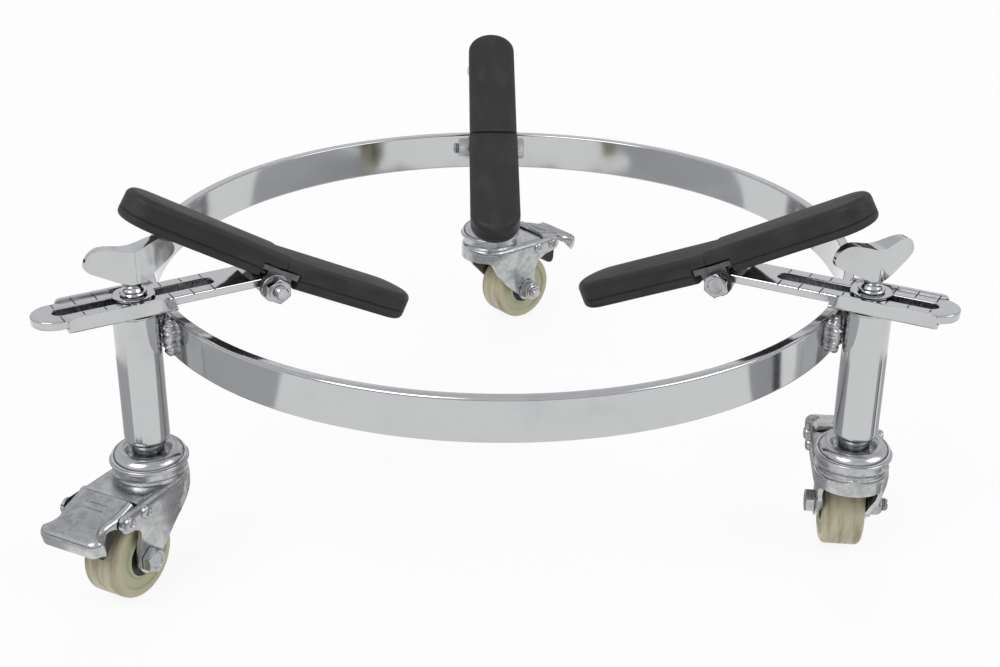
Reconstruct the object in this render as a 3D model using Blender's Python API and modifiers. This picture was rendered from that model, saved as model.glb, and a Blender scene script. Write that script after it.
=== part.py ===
"""Low rolling stand for a conga drum.

A flat steel hoop joins three short uprights.  Each upright carries a U-shaped
channel with a slotted slide bar, held by a stud and a large wing nut.  The inner
end of each slide bar holds a tilting arm with two rubber sleeves, on which the
drum rests.  Each upright stands on a swivel caster with a braked nylon wheel.

Lengths are in millimetres, and become metres when a mesh is made.  A leg is
built in its own frame: X points away from the hoop's axis, Y along the hoop,
counter-clockwise seen from above, and Z up from the floor.
"""

import math

import bmesh
import bpy
from mathutils import Matrix, Vector

MM = 0.001
GAP = 0.3

# The three legs: direction from the hoop's axis, and how each was left standing
LEG_NAMES = ("front_left", "front_right", "back")
LEG_AZIMUTH = {"front_left": 210.0, "front_right": 330.0, "back": 90.0}
PAD_TILT = {"front_left": 31.9, "front_right": 28.8, "back": 29.3}
WING_AZIMUTH = {"front_left": 33.0, "front_right": 22.0, "back": 125.0}
CASTER_AZIMUTH = {"front_left": 241.0, "front_right": 82.5, "back": 37.0}
SLIDE_OUT = {"front_left": 3.5, "front_right": -4.0, "back": 0.0}

# Hoop: flat bar rolled to a circle and welded to the uprights
RING_OUTER_RADIUS = 215.2
RING_THICKNESS = 6.35
RING_HEIGHT = 25.4
RING_EDGE = 1.6
RING_STEPS = 60
CHANNEL_ABOVE_RING = 5.2
WELD_RADIUS = 3.6
WELD_SPACING = 6.4

# Uprights
TUBE_RADIUS = 12.7
TUBE_WALL = 2.0
TUBE_FROM_AXIS = 232.5
TUBE_BOTTOM_Z = 84.7
TUBE_END_ROUND = 2.4
TUBE_STEPS = 24
TUBE_PLUG_DEPTH = 24.0
TUBE_TOP_PLUG = 7.0
TUBE_TOP_WELD = 2.0
CHANNEL_BOTTOM_Z = 165.5

# Channel guide
SHEET = 2.3
SLIDE_WIDTH = 25.4
SLIDE_THICKNESS = 5.0
CHANNEL_SIDE_GAP = 0.3
CHANNEL_LIP = 1.4
CHANNEL_INNER_END = 213.0
CHANNEL_OUTER_END = 273.0
CHANNEL_CORNER = 4.5

# Slide bar, with its slot and the knuckle at its inner end
SLIDE_TIP = 285.5
SLOT_WIDTH = 8.6
SLOT_OUTER_END = 273.8
SLOT_INNER_END = 183.2
PIVOT_FROM_AXIS = 153.5
PIVOT_BELOW_BAR = 2.9
KNUCKLE_RADIUS = 7.0
KNUCKLE_WIDTH = 26.0

# Clamp: stud, washer and cast wing, which is fixed on the stud and turns it
STUD_RADIUS = 4.0
STUD_BOTTOM_Z = 152.0
STUD_IN_NUT = 2.0
WASHER_RADIUS = 12.0
WASHER_THICKNESS = 1.6
NUT_FLANGE_RADIUS = 11.0
NUT_FLANGE_HEIGHT = 2.7
WING_NECK = 4.1
WING_REACH = 26.0
WING_TOP = 28.8
WING_DIP = 2.1
WING_LOBE_RADIUS = 9.8
WING_APEX = 7.0
WING_BACK = 5.5
WING_TIP_NEAR = 0.6
WING_TIP_FAR = 2.6

# Pivot bolt of a tilting arm
BOLT_RADIUS = 4.0
BOLT_HEX = 13.0
BOLT_HEAD = 5.3
NUT_WASHER_RADIUS = 8.0
NUT_WASHER = 1.4
NUT_HEIGHT = 7.9
BOLT_TAIL = 3.6

# Tilting arm: flat bar bent at the pivot, saddle with two ears, and two rubber sleeves
ARM_BEND = 4.3
CORE_WIDTH = 20.0
CORE_THICKNESS = 4.5
CORE_END_COVER = 11.5
SADDLE_THICKNESS = 2.4
SADDLE_HALF_LENGTH = 12.0
EAR_SHEET = 2.5
EAR_RADIUS = 8.0
SLEEVE_SPLIT = -2.0
OUTER_SLEEVE_WIDTH = 32.6
OUTER_SLEEVE_BOTTOM = 2.4
OUTER_SLEEVE_LENGTH = 96.0
OUTER_SLEEVE_THICKNESS = 17.1
INNER_SLEEVE_WIDTH = 33.4
INNER_SLEEVE_BOTTOM = 1.6
INNER_SLEEVE_LENGTH = 94.0
INNER_SLEEVE_THICKNESS = 16.8
SLEEVE_ROUND = 3.4
CUTOUT_SIDE_GAP = 0.6
CUTOUT_TOP_GAP = 0.6

# Caster: stem with its cup, fork, wheel, axle and brake
WHEEL_RADIUS = 25.0
WHEEL_WIDTH = 24.0
WHEEL_ROUND = 3.6
WHEEL_DISH = 1.8
WHEEL_STEPS = 30
BEARING_RADIUS = 11.0
CASTER_TRAIL = 25.5
STEM_RADIUS = 5.0
STEM_COLLAR_RADIUS = 9.0
STEM_TOP_Z = 106.0
CUP_RADIUS = 22.3
CUP_BOTTOM_Z = 73.0
CUP_HEIGHT = 7.6
CUP_RECESS_RADIUS = 11.5
CUP_RECESS_DEPTH = 4.4
KINGPIN_RADIUS = 5.0
KINGPIN_HEAD = 2.6
RACE_RADIUS = 20.0
FORK_TOP_Z = 66.5
FORK_SHEET = 2.5
FORK_FRONT_RADIUS = 21.8
FORK_WHEEL_GAP = 1.3
FORK_APRON_Z = 56.0
FORK_CORNER = 5.0
FORK_LEG_TOP_Z = 36.0
PIN_RADIUS = 2.5
PIN_HEAD_RADIUS = 4.0
PIN_HEAD_HEIGHT = 1.6
PEDAL_PIN_X = 45.6
BRACE_PIN_X = 31.5
PIN_Z = 60.4
PEDAL_SLOPE = 15.0
PEDAL_SHEET = 1.8
PEDAL_ABOVE_PIN = 6.4
PEDAL_NECK_WIDTH = 37.4
PEDAL_WAIST_WIDTH = 33.0
PEDAL_LIP_WIDTH = 42.0
PEDAL_REACH = 27.5
PEDAL_LIP_DROP = 12.5
SHOE_WIDTH = 18.0
SHOE_GAP = 4.6
SHOE_DEPTH = 19.0

# Levels and places that follow from the sizes above
RING_TOP_Z = CHANNEL_BOTTOM_Z - CHANNEL_ABOVE_RING
CHANNEL_FLOOR_Z = CHANNEL_BOTTOM_Z + SHEET
SLIDE_BOTTOM_Z = CHANNEL_FLOOR_Z + GAP
SLIDE_TOP_Z = SLIDE_BOTTOM_Z + SLIDE_THICKNESS
WASHER_BOTTOM_Z = SLIDE_TOP_Z + GAP
NUT_BOTTOM_Z = WASHER_BOTTOM_Z + WASHER_THICKNESS + GAP
PIVOT_Z = SLIDE_BOTTOM_Z + SLIDE_THICKNESS / 2 - PIVOT_BELOW_BAR
CHANNEL_INSIDE = SLIDE_WIDTH + 2 * CHANNEL_SIDE_GAP
CHANNEL_OUTSIDE = CHANNEL_INSIDE + 2 * SHEET
EAR_INSIDE = KNUCKLE_WIDTH / 2 + GAP
EAR_OUTSIDE = EAR_INSIDE + EAR_SHEET
SADDLE_BOTTOM = KNUCKLE_RADIUS + 2 * GAP
CORE_BOTTOM = SADDLE_BOTTOM + SADDLE_THICKNESS
BEND_RISE = math.tan(math.radians(ARM_BEND))
SADDLE_TOP = CORE_BOTTOM + 0.4 + SADDLE_HALF_LENGTH * BEND_RISE
FORK_FOOT_INSIDE = WHEEL_WIDTH / 2 + FORK_WHEEL_GAP
PIN_REACH = FORK_FRONT_RADIUS + GAP + PIN_HEAD_HEIGHT


def clear_scene():
    """Removes every object that is in the scene."""
    for scene_object in list(bpy.data.objects):
        bpy.data.objects.remove(scene_object, do_unlink=True)


def make_material(name, colour, metallic, roughness):
    """A plain Principled material."""
    material = bpy.data.materials.new(name)
    material.use_nodes = True
    shader = material.node_tree.nodes["Principled BSDF"]
    shader.inputs["Base Color"].default_value = (*colour, 1.0)
    shader.inputs["Metallic"].default_value = metallic
    shader.inputs["Roughness"].default_value = roughness
    return material


def turn(axis, degrees):
    """A rotation matrix about a named axis."""
    return Matrix.Rotation(math.radians(degrees), 4, axis)


def shift(x=0.0, y=0.0, z=0.0):
    """A move in millimetres."""
    return Matrix.Translation(Vector((x, y, z)) * MM)


def moved(mesh, matrix):
    """Moves a mesh and returns it."""
    mesh.transform(matrix)
    return mesh


def mesh_from(bm, name):
    """Turns a bmesh in millimetres into a mesh in metres, its faces outward."""
    bmesh.ops.recalc_face_normals(bm, faces=bm.faces)
    bmesh.ops.scale(bm, vec=(MM, MM, MM), verts=bm.verts)
    mesh = bpy.data.meshes.new(name)
    bm.to_mesh(mesh)
    bm.free()
    return mesh


def block(low, high):
    """A box between two corners."""
    bm = bmesh.new()
    bmesh.ops.create_cube(bm, size=1.0)
    size = [b - a for a, b in zip(low, high)]
    centre = [(a + b) / 2 for a, b in zip(low, high)]
    bmesh.ops.scale(bm, vec=size, verts=bm.verts)
    bmesh.ops.translate(bm, vec=centre, verts=bm.verts)
    return mesh_from(bm, "block")


def rod(radius, low, high, sides, axis="Z"):
    """A straight round or many-sided bar along an axis, from low to high."""
    bm = bmesh.new()
    bmesh.ops.create_cone(bm, cap_ends=True, segments=sides, radius1=radius,
                          radius2=radius, depth=high - low)
    bmesh.ops.translate(bm, vec=(0, 0, (low + high) / 2), verts=bm.verts)
    mesh = mesh_from(bm, "rod")
    if axis == "Y":
        moved(mesh, turn("X", -90))
    return mesh


def baked(scene_object):
    """The evaluated mesh of an object, which is then removed."""
    bpy.context.scene.collection.objects.link(scene_object)
    graph = bpy.context.evaluated_depsgraph_get()
    mesh = bpy.data.meshes.new_from_object(scene_object.evaluated_get(graph))
    bm = bmesh.new()
    bm.from_mesh(mesh)
    bmesh.ops.remove_doubles(bm, verts=bm.verts, dist=1e-6)
    bmesh.ops.dissolve_degenerate(bm, dist=1e-6, edges=bm.edges)
    bm.to_mesh(mesh)
    bm.free()
    bpy.data.objects.remove(scene_object, do_unlink=True)
    return mesh


def turned(profile, steps, closed=False):
    """A turned shape about Z, from (radius, height) points down its outer side."""
    mesh = bpy.data.meshes.new("profile")
    points = [(radius * MM, 0.0, height * MM) for radius, height in profile]
    edges = [(i, i + 1) for i in range(len(points) - 1)]
    if closed:
        edges.append((len(points) - 1, 0))
    mesh.from_pydata(points, edges, [])
    scene_object = bpy.data.objects.new("turned", mesh)
    screw = scene_object.modifiers.new("Screw", "SCREW")
    screw.axis = "Z"
    screw.steps = steps
    screw.render_steps = steps
    screw.use_merge_vertices = True
    screw.merge_threshold = 0.00001
    return baked(scene_object)


def turned_y(profile, steps, closed=False):
    """A turned shape about Y: heights in the profile become Y."""
    return moved(turned(profile, steps, closed), turn("X", -90))


def plate(outline, thickness, holes=(), edge=0.0):
    """A flat plate in the XY plane, centred on Z, with its edges rounded off."""
    curve = bpy.data.curves.new("outline", "CURVE")
    curve.dimensions = "2D"
    curve.fill_mode = "BOTH"
    curve.extrude = (thickness / 2 - edge) * MM
    curve.bevel_depth = edge * MM
    curve.bevel_resolution = 1
    curve.offset = -edge * MM
    for points in (outline, *holes):
        spline = curve.splines.new("POLY")
        spline.points.add(len(points) - 1)
        for point, (x, y) in zip(spline.points, points):
            point.co = (x * MM, y * MM, 0.0, 1.0)
        spline.use_cyclic_u = True
    return baked(bpy.data.objects.new("plate", curve))


def upright(mesh):
    """Stands a plate up: its outline's second number becomes the height."""
    return moved(mesh, turn("X", 90))


def combined(base, tool, operation):
    """Two meshes put through an exact Boolean."""
    base_object = bpy.data.objects.new("base", base)
    tool_object = bpy.data.objects.new("tool", tool)
    bpy.context.scene.collection.objects.link(tool_object)
    modifier = base_object.modifiers.new("Boolean", "BOOLEAN")
    modifier.operation = operation
    modifier.solver = "EXACT"
    modifier.object = tool_object
    result = baked(base_object)
    bpy.data.objects.remove(tool_object, do_unlink=True)
    return result


def join(base, *tools):
    """The union of meshes."""
    for tool in tools:
        base = combined(base, tool, "UNION")
    return base


def cut(base, *tools):
    """A mesh with others cut from it."""
    for tool in tools:
        base = combined(base, tool, "DIFFERENCE")
    return base


def common(base, *tools):
    """What meshes have in common."""
    for tool in tools:
        base = combined(base, tool, "INTERSECT")
    return base


def arc(centre, radius, start, end, steps):
    """Points on an arc, angles in degrees."""
    points = []
    for i in range(steps + 1):
        angle = math.radians(start + (end - start) * i / steps)
        points.append((centre[0] + radius * math.cos(angle), centre[1] + radius * math.sin(angle)))
    return points


def slot_outline(start, end, width, steps):
    """A slot along X between the outermost points of its round ends."""
    radius = width / 2
    return (arc((end - radius, 0), radius, -90, 90, steps)
            + arc((start + radius, 0), radius, 90, 270, steps))


def make_ring():
    """The hoop, with two weld beads against each upright."""
    outer = RING_OUTER_RADIUS
    inner = outer - RING_THICKNESS
    top = RING_TOP_Z
    low = top - RING_HEIGHT
    edge = RING_EDGE
    hoop = turned([(outer - edge, top), (outer, top - edge), (outer, low + edge),
                   (outer - edge, low), (inner, low), (inner, top)], RING_STEPS, closed=True)
    for leg in LEG_NAMES:
        for side in (-1, 1):
            bead = rod(WELD_RADIUS, low + 1.0, top - 1.0, 8)
            x = outer + WELD_RADIUS / 2
            bead = moved(bead, turn("Z", LEG_AZIMUTH[leg]) @ shift(x, side * WELD_SPACING))
            hoop = join(hoop, bead)
        clearance = rod(TUBE_RADIUS + GAP, low - 5, top + 5, TUBE_STEPS)
        clearance = moved(clearance, turn("Z", LEG_AZIMUTH[leg]) @ shift(TUBE_FROM_AXIS))
        hoop = cut(hoop, clearance)
    return hoop


def make_upright_tube():
    """An upright: its foot is plugged round the stem, its top round the stud."""
    top = CHANNEL_BOTTOM_Z - GAP
    bottom = TUBE_BOTTOM_Z
    stem_bore = STEM_RADIUS + GAP
    stud_bore = STUD_RADIUS + GAP
    inner = TUBE_RADIUS - TUBE_WALL
    rounding = TUBE_END_ROUND
    profile = [(TUBE_RADIUS + TUBE_TOP_WELD * 0.7, top), (TUBE_RADIUS, top - TUBE_TOP_WELD)]
    profile += arc((TUBE_RADIUS - rounding, bottom + rounding), rounding, 0, -90, 2)
    profile += [(stem_bore, bottom), (stem_bore, bottom + TUBE_PLUG_DEPTH),
                (inner, bottom + TUBE_PLUG_DEPTH), (inner, top - TUBE_TOP_PLUG),
                (stud_bore, top - TUBE_TOP_PLUG), (stud_bore, top)]
    return turned(profile, TUBE_STEPS, closed=True)


def make_channel_guide():
    """The U-shaped guide on top of an upright, in the leg's frame."""
    half = CHANNEL_OUTSIDE / 2
    top = SLIDE_TOP_Z + CHANNEL_LIP
    low = CHANNEL_BOTTOM_Z
    start = CHANNEL_INNER_END
    end = CHANNEL_OUTER_END
    corner = CHANNEL_CORNER
    height = top - low
    inner_end = arc((start + height, top - height), height, 180, 90, 5)
    side = [(end, low), (end, top - corner), (end - corner, top)]
    side += list(reversed(inner_end))
    body = upright(plate(side, CHANNEL_OUTSIDE))
    way = block((start - 5, -CHANNEL_INSIDE / 2, CHANNEL_FLOOR_Z),
                (end + 5, CHANNEL_INSIDE / 2, top + 5))
    hole = moved(rod(STUD_RADIUS + GAP, low - 5, top + 5, 16), shift(TUBE_FROM_AXIS))
    outer_round = 3.0
    plan = [(end - outer_round, -half), (end, -half + outer_round), (end, half - outer_round),
            (end - outer_round, half), (start, half), (start, -half)]
    envelope = moved(plate(plan, height + 20), shift(z=(low + top) / 2))
    return common(cut(body, way, hole), envelope)


def make_slide_bar():
    """The slotted bar and its knuckle, in the leg's frame."""
    half = SLIDE_WIDTH / 2
    outline = arc((SLIDE_TIP - half, 0), half, -90, 90, 12)
    outline += [(PIVOT_FROM_AXIS, half), (PIVOT_FROM_AXIS, -half)]
    slot = slot_outline(SLOT_INNER_END, SLOT_OUTER_END, SLOT_WIDTH, 6)
    bar = plate(outline, SLIDE_THICKNESS, holes=[slot])
    bar = moved(bar, shift(z=SLIDE_BOTTOM_Z + SLIDE_THICKNESS / 2))
    knuckle = rod(KNUCKLE_RADIUS, -KNUCKLE_WIDTH / 2, KNUCKLE_WIDTH / 2, 20, "Y")
    knuckle = moved(knuckle, shift(PIVOT_FROM_AXIS, 0, PIVOT_Z))
    bore = rod(BOLT_RADIUS + GAP, -KNUCKLE_WIDTH, KNUCKLE_WIDTH, 16, "Y")
    bore = moved(bore, shift(PIVOT_FROM_AXIS, 0, PIVOT_Z))
    return cut(join(bar, knuckle), bore)


def make_clamp_stud():
    """The threaded stud, from inside the upright up into the wing's flange."""
    top = NUT_BOTTOM_Z + STUD_IN_NUT
    low = STUD_BOTTOM_Z
    return turned([(0, top), (STUD_RADIUS, top), (STUD_RADIUS, low + 0.8),
                   (STUD_RADIUS - 0.8, low), (0, low)], 16)


def make_washer():
    """The flat washer under the wing nut."""
    bore = STUD_RADIUS + GAP
    low = WASHER_BOTTOM_Z
    top = low + WASHER_THICKNESS
    return turned([(WASHER_RADIUS, top), (WASHER_RADIUS, low), (bore, low), (bore, top)],
                  24, closed=True)


def wing_outline():
    """The wings seen from the side: two round lobes on a narrow neck."""
    lobe_x = WING_REACH - WING_LOBE_RADIUS
    lobe_z = WING_TOP - WING_LOBE_RADIUS
    foot = lobe_z - WING_LOBE_RADIUS
    half = [(WING_NECK, 1.2), (WING_NECK, foot - 3.6), (WING_NECK + 1.4, foot - 1.6),
            (WING_NECK + 5.2, foot - 0.2)]
    half += arc((lobe_x, lobe_z), WING_LOBE_RADIUS, -95, 95, 12)
    half += [(WING_REACH * 0.30, WING_TOP - 0.6), (WING_REACH * 0.13, WING_TOP - WING_DIP + 0.6)]
    middle = [(0, WING_TOP - WING_DIP)]
    return half + middle + [(-x, z) for x, z in reversed(half)]


def wing_plan():
    """The wings seen from above: the near face is a wide V, the far face almost flat."""
    near = [(-WING_REACH - 1, -WING_TIP_NEAR + 1.2), (-WING_REACH * 0.45, -WING_APEX * 0.52),
            (-1.2, -WING_APEX), (1.2, -WING_APEX), (WING_REACH * 0.45, -WING_APEX * 0.52),
            (WING_REACH + 1, -WING_TIP_NEAR + 1.2)]
    far = [(WING_REACH + 1, WING_TIP_FAR), (0, WING_BACK), (-WING_REACH - 1, WING_TIP_FAR)]
    return near + far


def make_wing_nut():
    """The cast wing, standing on its flange at Z 0, wings along X, V towards -Y."""
    flange = NUT_FLANGE_RADIUS
    height = NUT_FLANGE_HEIGHT
    base = turned([(0, height + 2.4), (WING_NECK, height + 2.0), (WING_NECK + 1.6, height + 0.9),
                   (flange - 1.2, height), (flange, height - 1.0), (flange, 0), (0, 0)], 24)
    elevation = upright(plate(wing_outline(), 40))
    plan = moved(plate(wing_plan(), 60, edge=0.0), shift(z=20))
    body = join(common(elevation, plan), base)
    bore = rod(STUD_RADIUS + GAP, -5, STUD_IN_NUT + GAP, 16)
    return cut(body, bore)


def hexagon(width, low, high):
    """A hexagonal bar along Y, across flats in millimetres."""
    return rod(width / math.sqrt(3), low, high, 6, "Y")


def make_bolt(grip):
    """A bolt along Y, its head at +Y, for a grip centred on Y 0."""
    head_face = grip / 2 + GAP
    tail = -(grip / 2 + GAP + NUT_HEIGHT + BOLT_TAIL)
    shank = turned_y([(0, head_face + 1), (BOLT_RADIUS, head_face + 1), (BOLT_RADIUS, tail + 0.8),
                      (BOLT_RADIUS - 0.8, tail), (0, tail)], 16)
    return join(hexagon(BOLT_HEX, head_face, head_face + BOLT_HEAD), shank)


def make_nut(grip):
    """The nut with the washer under it, on the -Y end of the same bolt."""
    near = -(grip / 2 + GAP)
    far = near - NUT_HEIGHT
    body = join(hexagon(BOLT_HEX, far, near - NUT_WASHER / 2),
                rod(NUT_WASHER_RADIUS, near - NUT_WASHER, near, 20, "Y"))
    return cut(body, rod(BOLT_RADIUS + GAP, far - 2, near + 2, 16, "Y"))


def core_bar(extra):
    """The bent flat bar of an arm, made larger all round by extra."""
    half = CORE_WIDTH / 2 + extra
    reach_out = OUTER_SLEEVE_LENGTH - CORE_END_COVER + extra
    reach_in = INNER_SLEEVE_LENGTH - CORE_END_COVER + extra
    plan = arc((reach_out - half, 0), half, -90, 90, 6)
    plan += arc((half - reach_in, 0), half, 90, 270, 6)
    low = CORE_BOTTOM - extra
    top = CORE_BOTTOM + CORE_THICKNESS + extra
    beyond = 5.0
    rise = BEND_RISE * (reach_in + beyond)
    side = [(reach_out + beyond, low), (reach_out + beyond, top), (0, top),
            (-reach_in - beyond, top + rise), (-reach_in - beyond, low + rise), (0, low)]
    return common(upright(plate(side, 2 * half + 10)), plate(plan, 4 * top))


def make_arm_core():
    """The arm's steel: the bent bar on its saddle with two ears, about the pivot."""
    half = SADDLE_HALF_LENGTH
    saddle = [(half, SADDLE_BOTTOM), (half, CORE_BOTTOM + 0.4), (0, CORE_BOTTOM + 0.4),
              (-half, SADDLE_TOP), (-half, SADDLE_BOTTOM)]
    bracket = upright(plate(saddle, 2 * EAR_OUTSIDE - GAP))
    ear = arc((0, 0), EAR_RADIUS, 180, 360, 10)
    ear += [(EAR_RADIUS, SADDLE_BOTTOM + 1.2), (-EAR_RADIUS, SADDLE_BOTTOM + 1.2)]
    for side in (-1, 1):
        middle = side * (EAR_INSIDE + EAR_SHEET / 2)
        bracket = join(bracket, moved(upright(plate(ear, EAR_SHEET)), shift(0, middle)))
    bore = rod(BOLT_RADIUS + GAP, -30, 30, 16, "Y")
    return join(cut(bracket, bore), core_bar(0.0))


def sleeve(length, width, thickness, bottom):
    """A rubber sleeve along X from near the pivot to its round end, before its pocket."""
    half = width / 2
    outline = arc((length - half, 0), half, -90, 90, 12)
    outline += [(-SADDLE_HALF_LENGTH, half), (-SADDLE_HALF_LENGTH, -half)]
    body = plate(outline, thickness, edge=SLEEVE_ROUND)
    return moved(body, shift(z=bottom + thickness / 2))


def make_sleeves():
    """The outer and the inner sleeve of an arm, about the pivot."""
    reach = SADDLE_HALF_LENGTH + CUTOUT_SIDE_GAP
    cutout = block((-reach, -50, -50), (reach, 50, SADDLE_TOP + CUTOUT_TOP_GAP))
    outer = sleeve(OUTER_SLEEVE_LENGTH, OUTER_SLEEVE_WIDTH, OUTER_SLEEVE_THICKNESS,
                   OUTER_SLEEVE_BOTTOM)
    inner = sleeve(INNER_SLEEVE_LENGTH, INNER_SLEEVE_WIDTH, INNER_SLEEVE_THICKNESS,
                   INNER_SLEEVE_BOTTOM)
    middle = CORE_BOTTOM + CORE_THICKNESS / 2
    inner = moved(inner, shift(z=middle) @ turn("Y", ARM_BEND) @ shift(z=-middle) @ turn("Z", 180))
    inward = block((-60, -50, -50), (SLEEVE_SPLIT + GAP / 2, 50, 50))
    outward = block((SLEEVE_SPLIT - GAP / 2, -50, -50), (60, 50, 50))
    return [cut(body, beyond, cutout.copy(), core_bar(GAP))
            for body, beyond in ((outer, inward), (inner, outward))]


def make_caster_stem():
    """Stem, collar, cup and king pin of a caster, about the swivel axis."""
    low = CUP_BOTTOM_Z
    top = low + CUP_HEIGHT
    floor = top - CUP_RECESS_DEPTH
    collar_top = TUBE_BOTTOM_Z - GAP
    pin_top = FORK_TOP_Z - FORK_SHEET - GAP
    crown = (CUP_RADIUS + CUP_RECESS_RADIUS) / 2
    return turned([(0, STEM_TOP_Z), (STEM_RADIUS, STEM_TOP_Z), (STEM_RADIUS, collar_top),
                   (STEM_COLLAR_RADIUS, collar_top), (STEM_COLLAR_RADIUS, floor),
                   (CUP_RECESS_RADIUS, floor),
                   (CUP_RECESS_RADIUS + 1.8, top - 1.4), (crown, top), (CUP_RADIUS - 2.6, top - 2.2),
                   (CUP_RADIUS - 0.6, low + 2.4), (CUP_RADIUS, low), (KINGPIN_RADIUS, low),
                   (KINGPIN_RADIUS, pin_top), (KINGPIN_RADIUS + 3, pin_top),
                   (KINGPIN_RADIUS + 2, pin_top - KINGPIN_HEAD), (0, pin_top - KINGPIN_HEAD)], 24)


def fork_half_width(x):
    """Half-width of the fork's shoulder at a place along it."""
    if x < 0:
        return math.sqrt(max(FORK_FRONT_RADIUS ** 2 - x ** 2, 4.0))
    return FORK_FRONT_RADIUS


def fork_body(inset):
    """The drawn body of the fork as a solid, made smaller all round by inset."""
    foot = FORK_FOOT_INSIDE + FORK_SHEET - inset
    top = FORK_TOP_Z - inset
    bm = bmesh.new()
    rings = []
    for x in (-FORK_FRONT_RADIUS, -21.0, -19.0, -16.0, -12.0, -6.0, 0.0, 26.0, 62.0):
        half = max(fork_half_width(x) - inset, 0.8)
        corner = min(FORK_CORNER - inset * 0.6, half * 0.8)
        low_half = min(foot, half * 0.95)
        section = [(-2.0, low_half), (FORK_LEG_TOP_Z, low_half), (top - corner, half),
                   (top - corner * 0.3, half - corner * 0.3), (top, half - corner)]
        place = x * (1 - inset / FORK_FRONT_RADIUS) if x < 0 else x
        right = [(place, -w, z) for z, w in section]
        left = [(place, w, z) for z, w in reversed(section)]
        rings.append([bm.verts.new(point) for point in right + left])
    for near, far in zip(rings, rings[1:]):
        for i in range(len(near)):
            j = (i + 1) % len(near)
            bm.faces.new((near[i], near[j], far[j], far[i]))
    bm.faces.new(rings[0])
    bm.faces.new(rings[-1])
    return mesh_from(bm, "fork body")


def fork_side_outline():
    """The fork seen from the side, from the apron round the axle to the ears."""
    trail = CASTER_TRAIL
    boss = 8.6
    points = [(-30, 90), (-30, FORK_APRON_Z), (-13, FORK_APRON_Z), (-8.5, 49), (-3.5, 41.5),
              (4.0, 33.5), (11.5, 27.0)]
    points += arc((trail, WHEEL_RADIUS), boss, 200, 350, 8)
    points += [(trail + 6.8, 42), (trail + 7.6, 46.5), (trail + 10.0, 49.5)]
    points += arc((PEDAL_PIN_X, PIN_Z), 6.2, -75, 70, 6)
    points += [(PEDAL_PIN_X - 5, FORK_TOP_Z + 1), (PEDAL_PIN_X - 9, 90)]
    return points


def make_rivet(seat):
    """A rivet along Y with a head at each end, each head starting at its seat."""
    head = PIN_HEAD_RADIUS
    return turned_y([(0, PIN_REACH), (head - 0.8, PIN_REACH), (head, seat), (PIN_RADIUS, seat),
                     (PIN_RADIUS, -seat), (head, -seat), (head - 0.8, -PIN_REACH),
                     (0, -PIN_REACH)], 10)


def make_fork():
    """The fork about the swivel axis: X points along the trail."""
    trail = CASTER_TRAIL
    shell = cut(fork_body(0.0), fork_body(FORK_SHEET))
    shell = common(shell, upright(plate(fork_side_outline(), 80)))
    inside = FORK_FRONT_RADIUS - FORK_SHEET
    pedal_room = block((PEDAL_PIN_X - 10.5, -inside, 40), (PEDAL_PIN_X + 20, inside, 90))
    shell = cut(shell, pedal_room)
    race = turned([(RACE_RADIUS - 2.5, CUP_BOTTOM_Z - GAP), (RACE_RADIUS - 0.8, CUP_BOTTOM_Z - GAP),
                   (RACE_RADIUS, CUP_BOTTOM_Z - 1.6), (RACE_RADIUS - 0.4, FORK_TOP_Z - 0.5),
                   (RACE_RADIUS - 5, FORK_TOP_Z - 0.5)], 24, closed=True)
    shell = join(shell, race)
    for pin_x in (PEDAL_PIN_X, BRACE_PIN_X):
        shell = join(shell, moved(make_rivet(inside + 0.6), shift(pin_x, 0, PIN_Z)))
    kingpin_hole = rod(KINGPIN_RADIUS + GAP, 50, 85, 16)
    axle_hole = moved(rod(BOLT_RADIUS + GAP, -30, 30, 16, "Y"), shift(trail, 0, WHEEL_RADIUS))
    return cut(shell, kingpin_hole, axle_hole)


def make_wheel():
    """The wheel about its axle along Y, with dished sides and bearing seats."""
    half = WHEEL_WIDTH / 2
    radius = WHEEL_RADIUS
    rounding = WHEEL_ROUND
    seat = BEARING_RADIUS + GAP
    upper = [(seat, half), (seat + 1.8, half - WHEEL_DISH), (radius - 6.2, half - WHEEL_DISH),
             (radius - 5.0, half - 0.4)]
    upper += arc((radius - rounding, half - rounding), rounding, 75, 0, 2)
    lower = [(r, -h) for r, h in reversed(upper)]
    return turned_y(upper + lower, WHEEL_STEPS, closed=True)


def make_bearing():
    """The sealed bearing sleeve through a wheel's hub, in the wheel's frame."""
    half = WHEEL_WIDTH / 2
    bore = BOLT_RADIUS + GAP
    out = BEARING_RADIUS
    face = half + 0.8
    upper = [(bore, face), (bore + 2.2, face), (bore + 2.6, half - 0.8), (out, half - 0.8)]
    lower = [(r, -h) for r, h in reversed(upper)]
    return turned_y(upper + lower, 20, closed=True)


def pedal_half_width(x):
    """Half the pedal's width at a distance from its pin."""
    neck = PEDAL_NECK_WIDTH / 2
    waist = PEDAL_WAIST_WIDTH / 2
    lip = PEDAL_LIP_WIDTH / 2
    if x < 4:
        return neck
    if x < 13:
        return neck + (waist - neck) * (x - 4) / 9
    share = min((x - 13) / (PEDAL_REACH - 17), 1.0)
    return waist + (lip - waist) * share * share * (3 - 2 * share)


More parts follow.
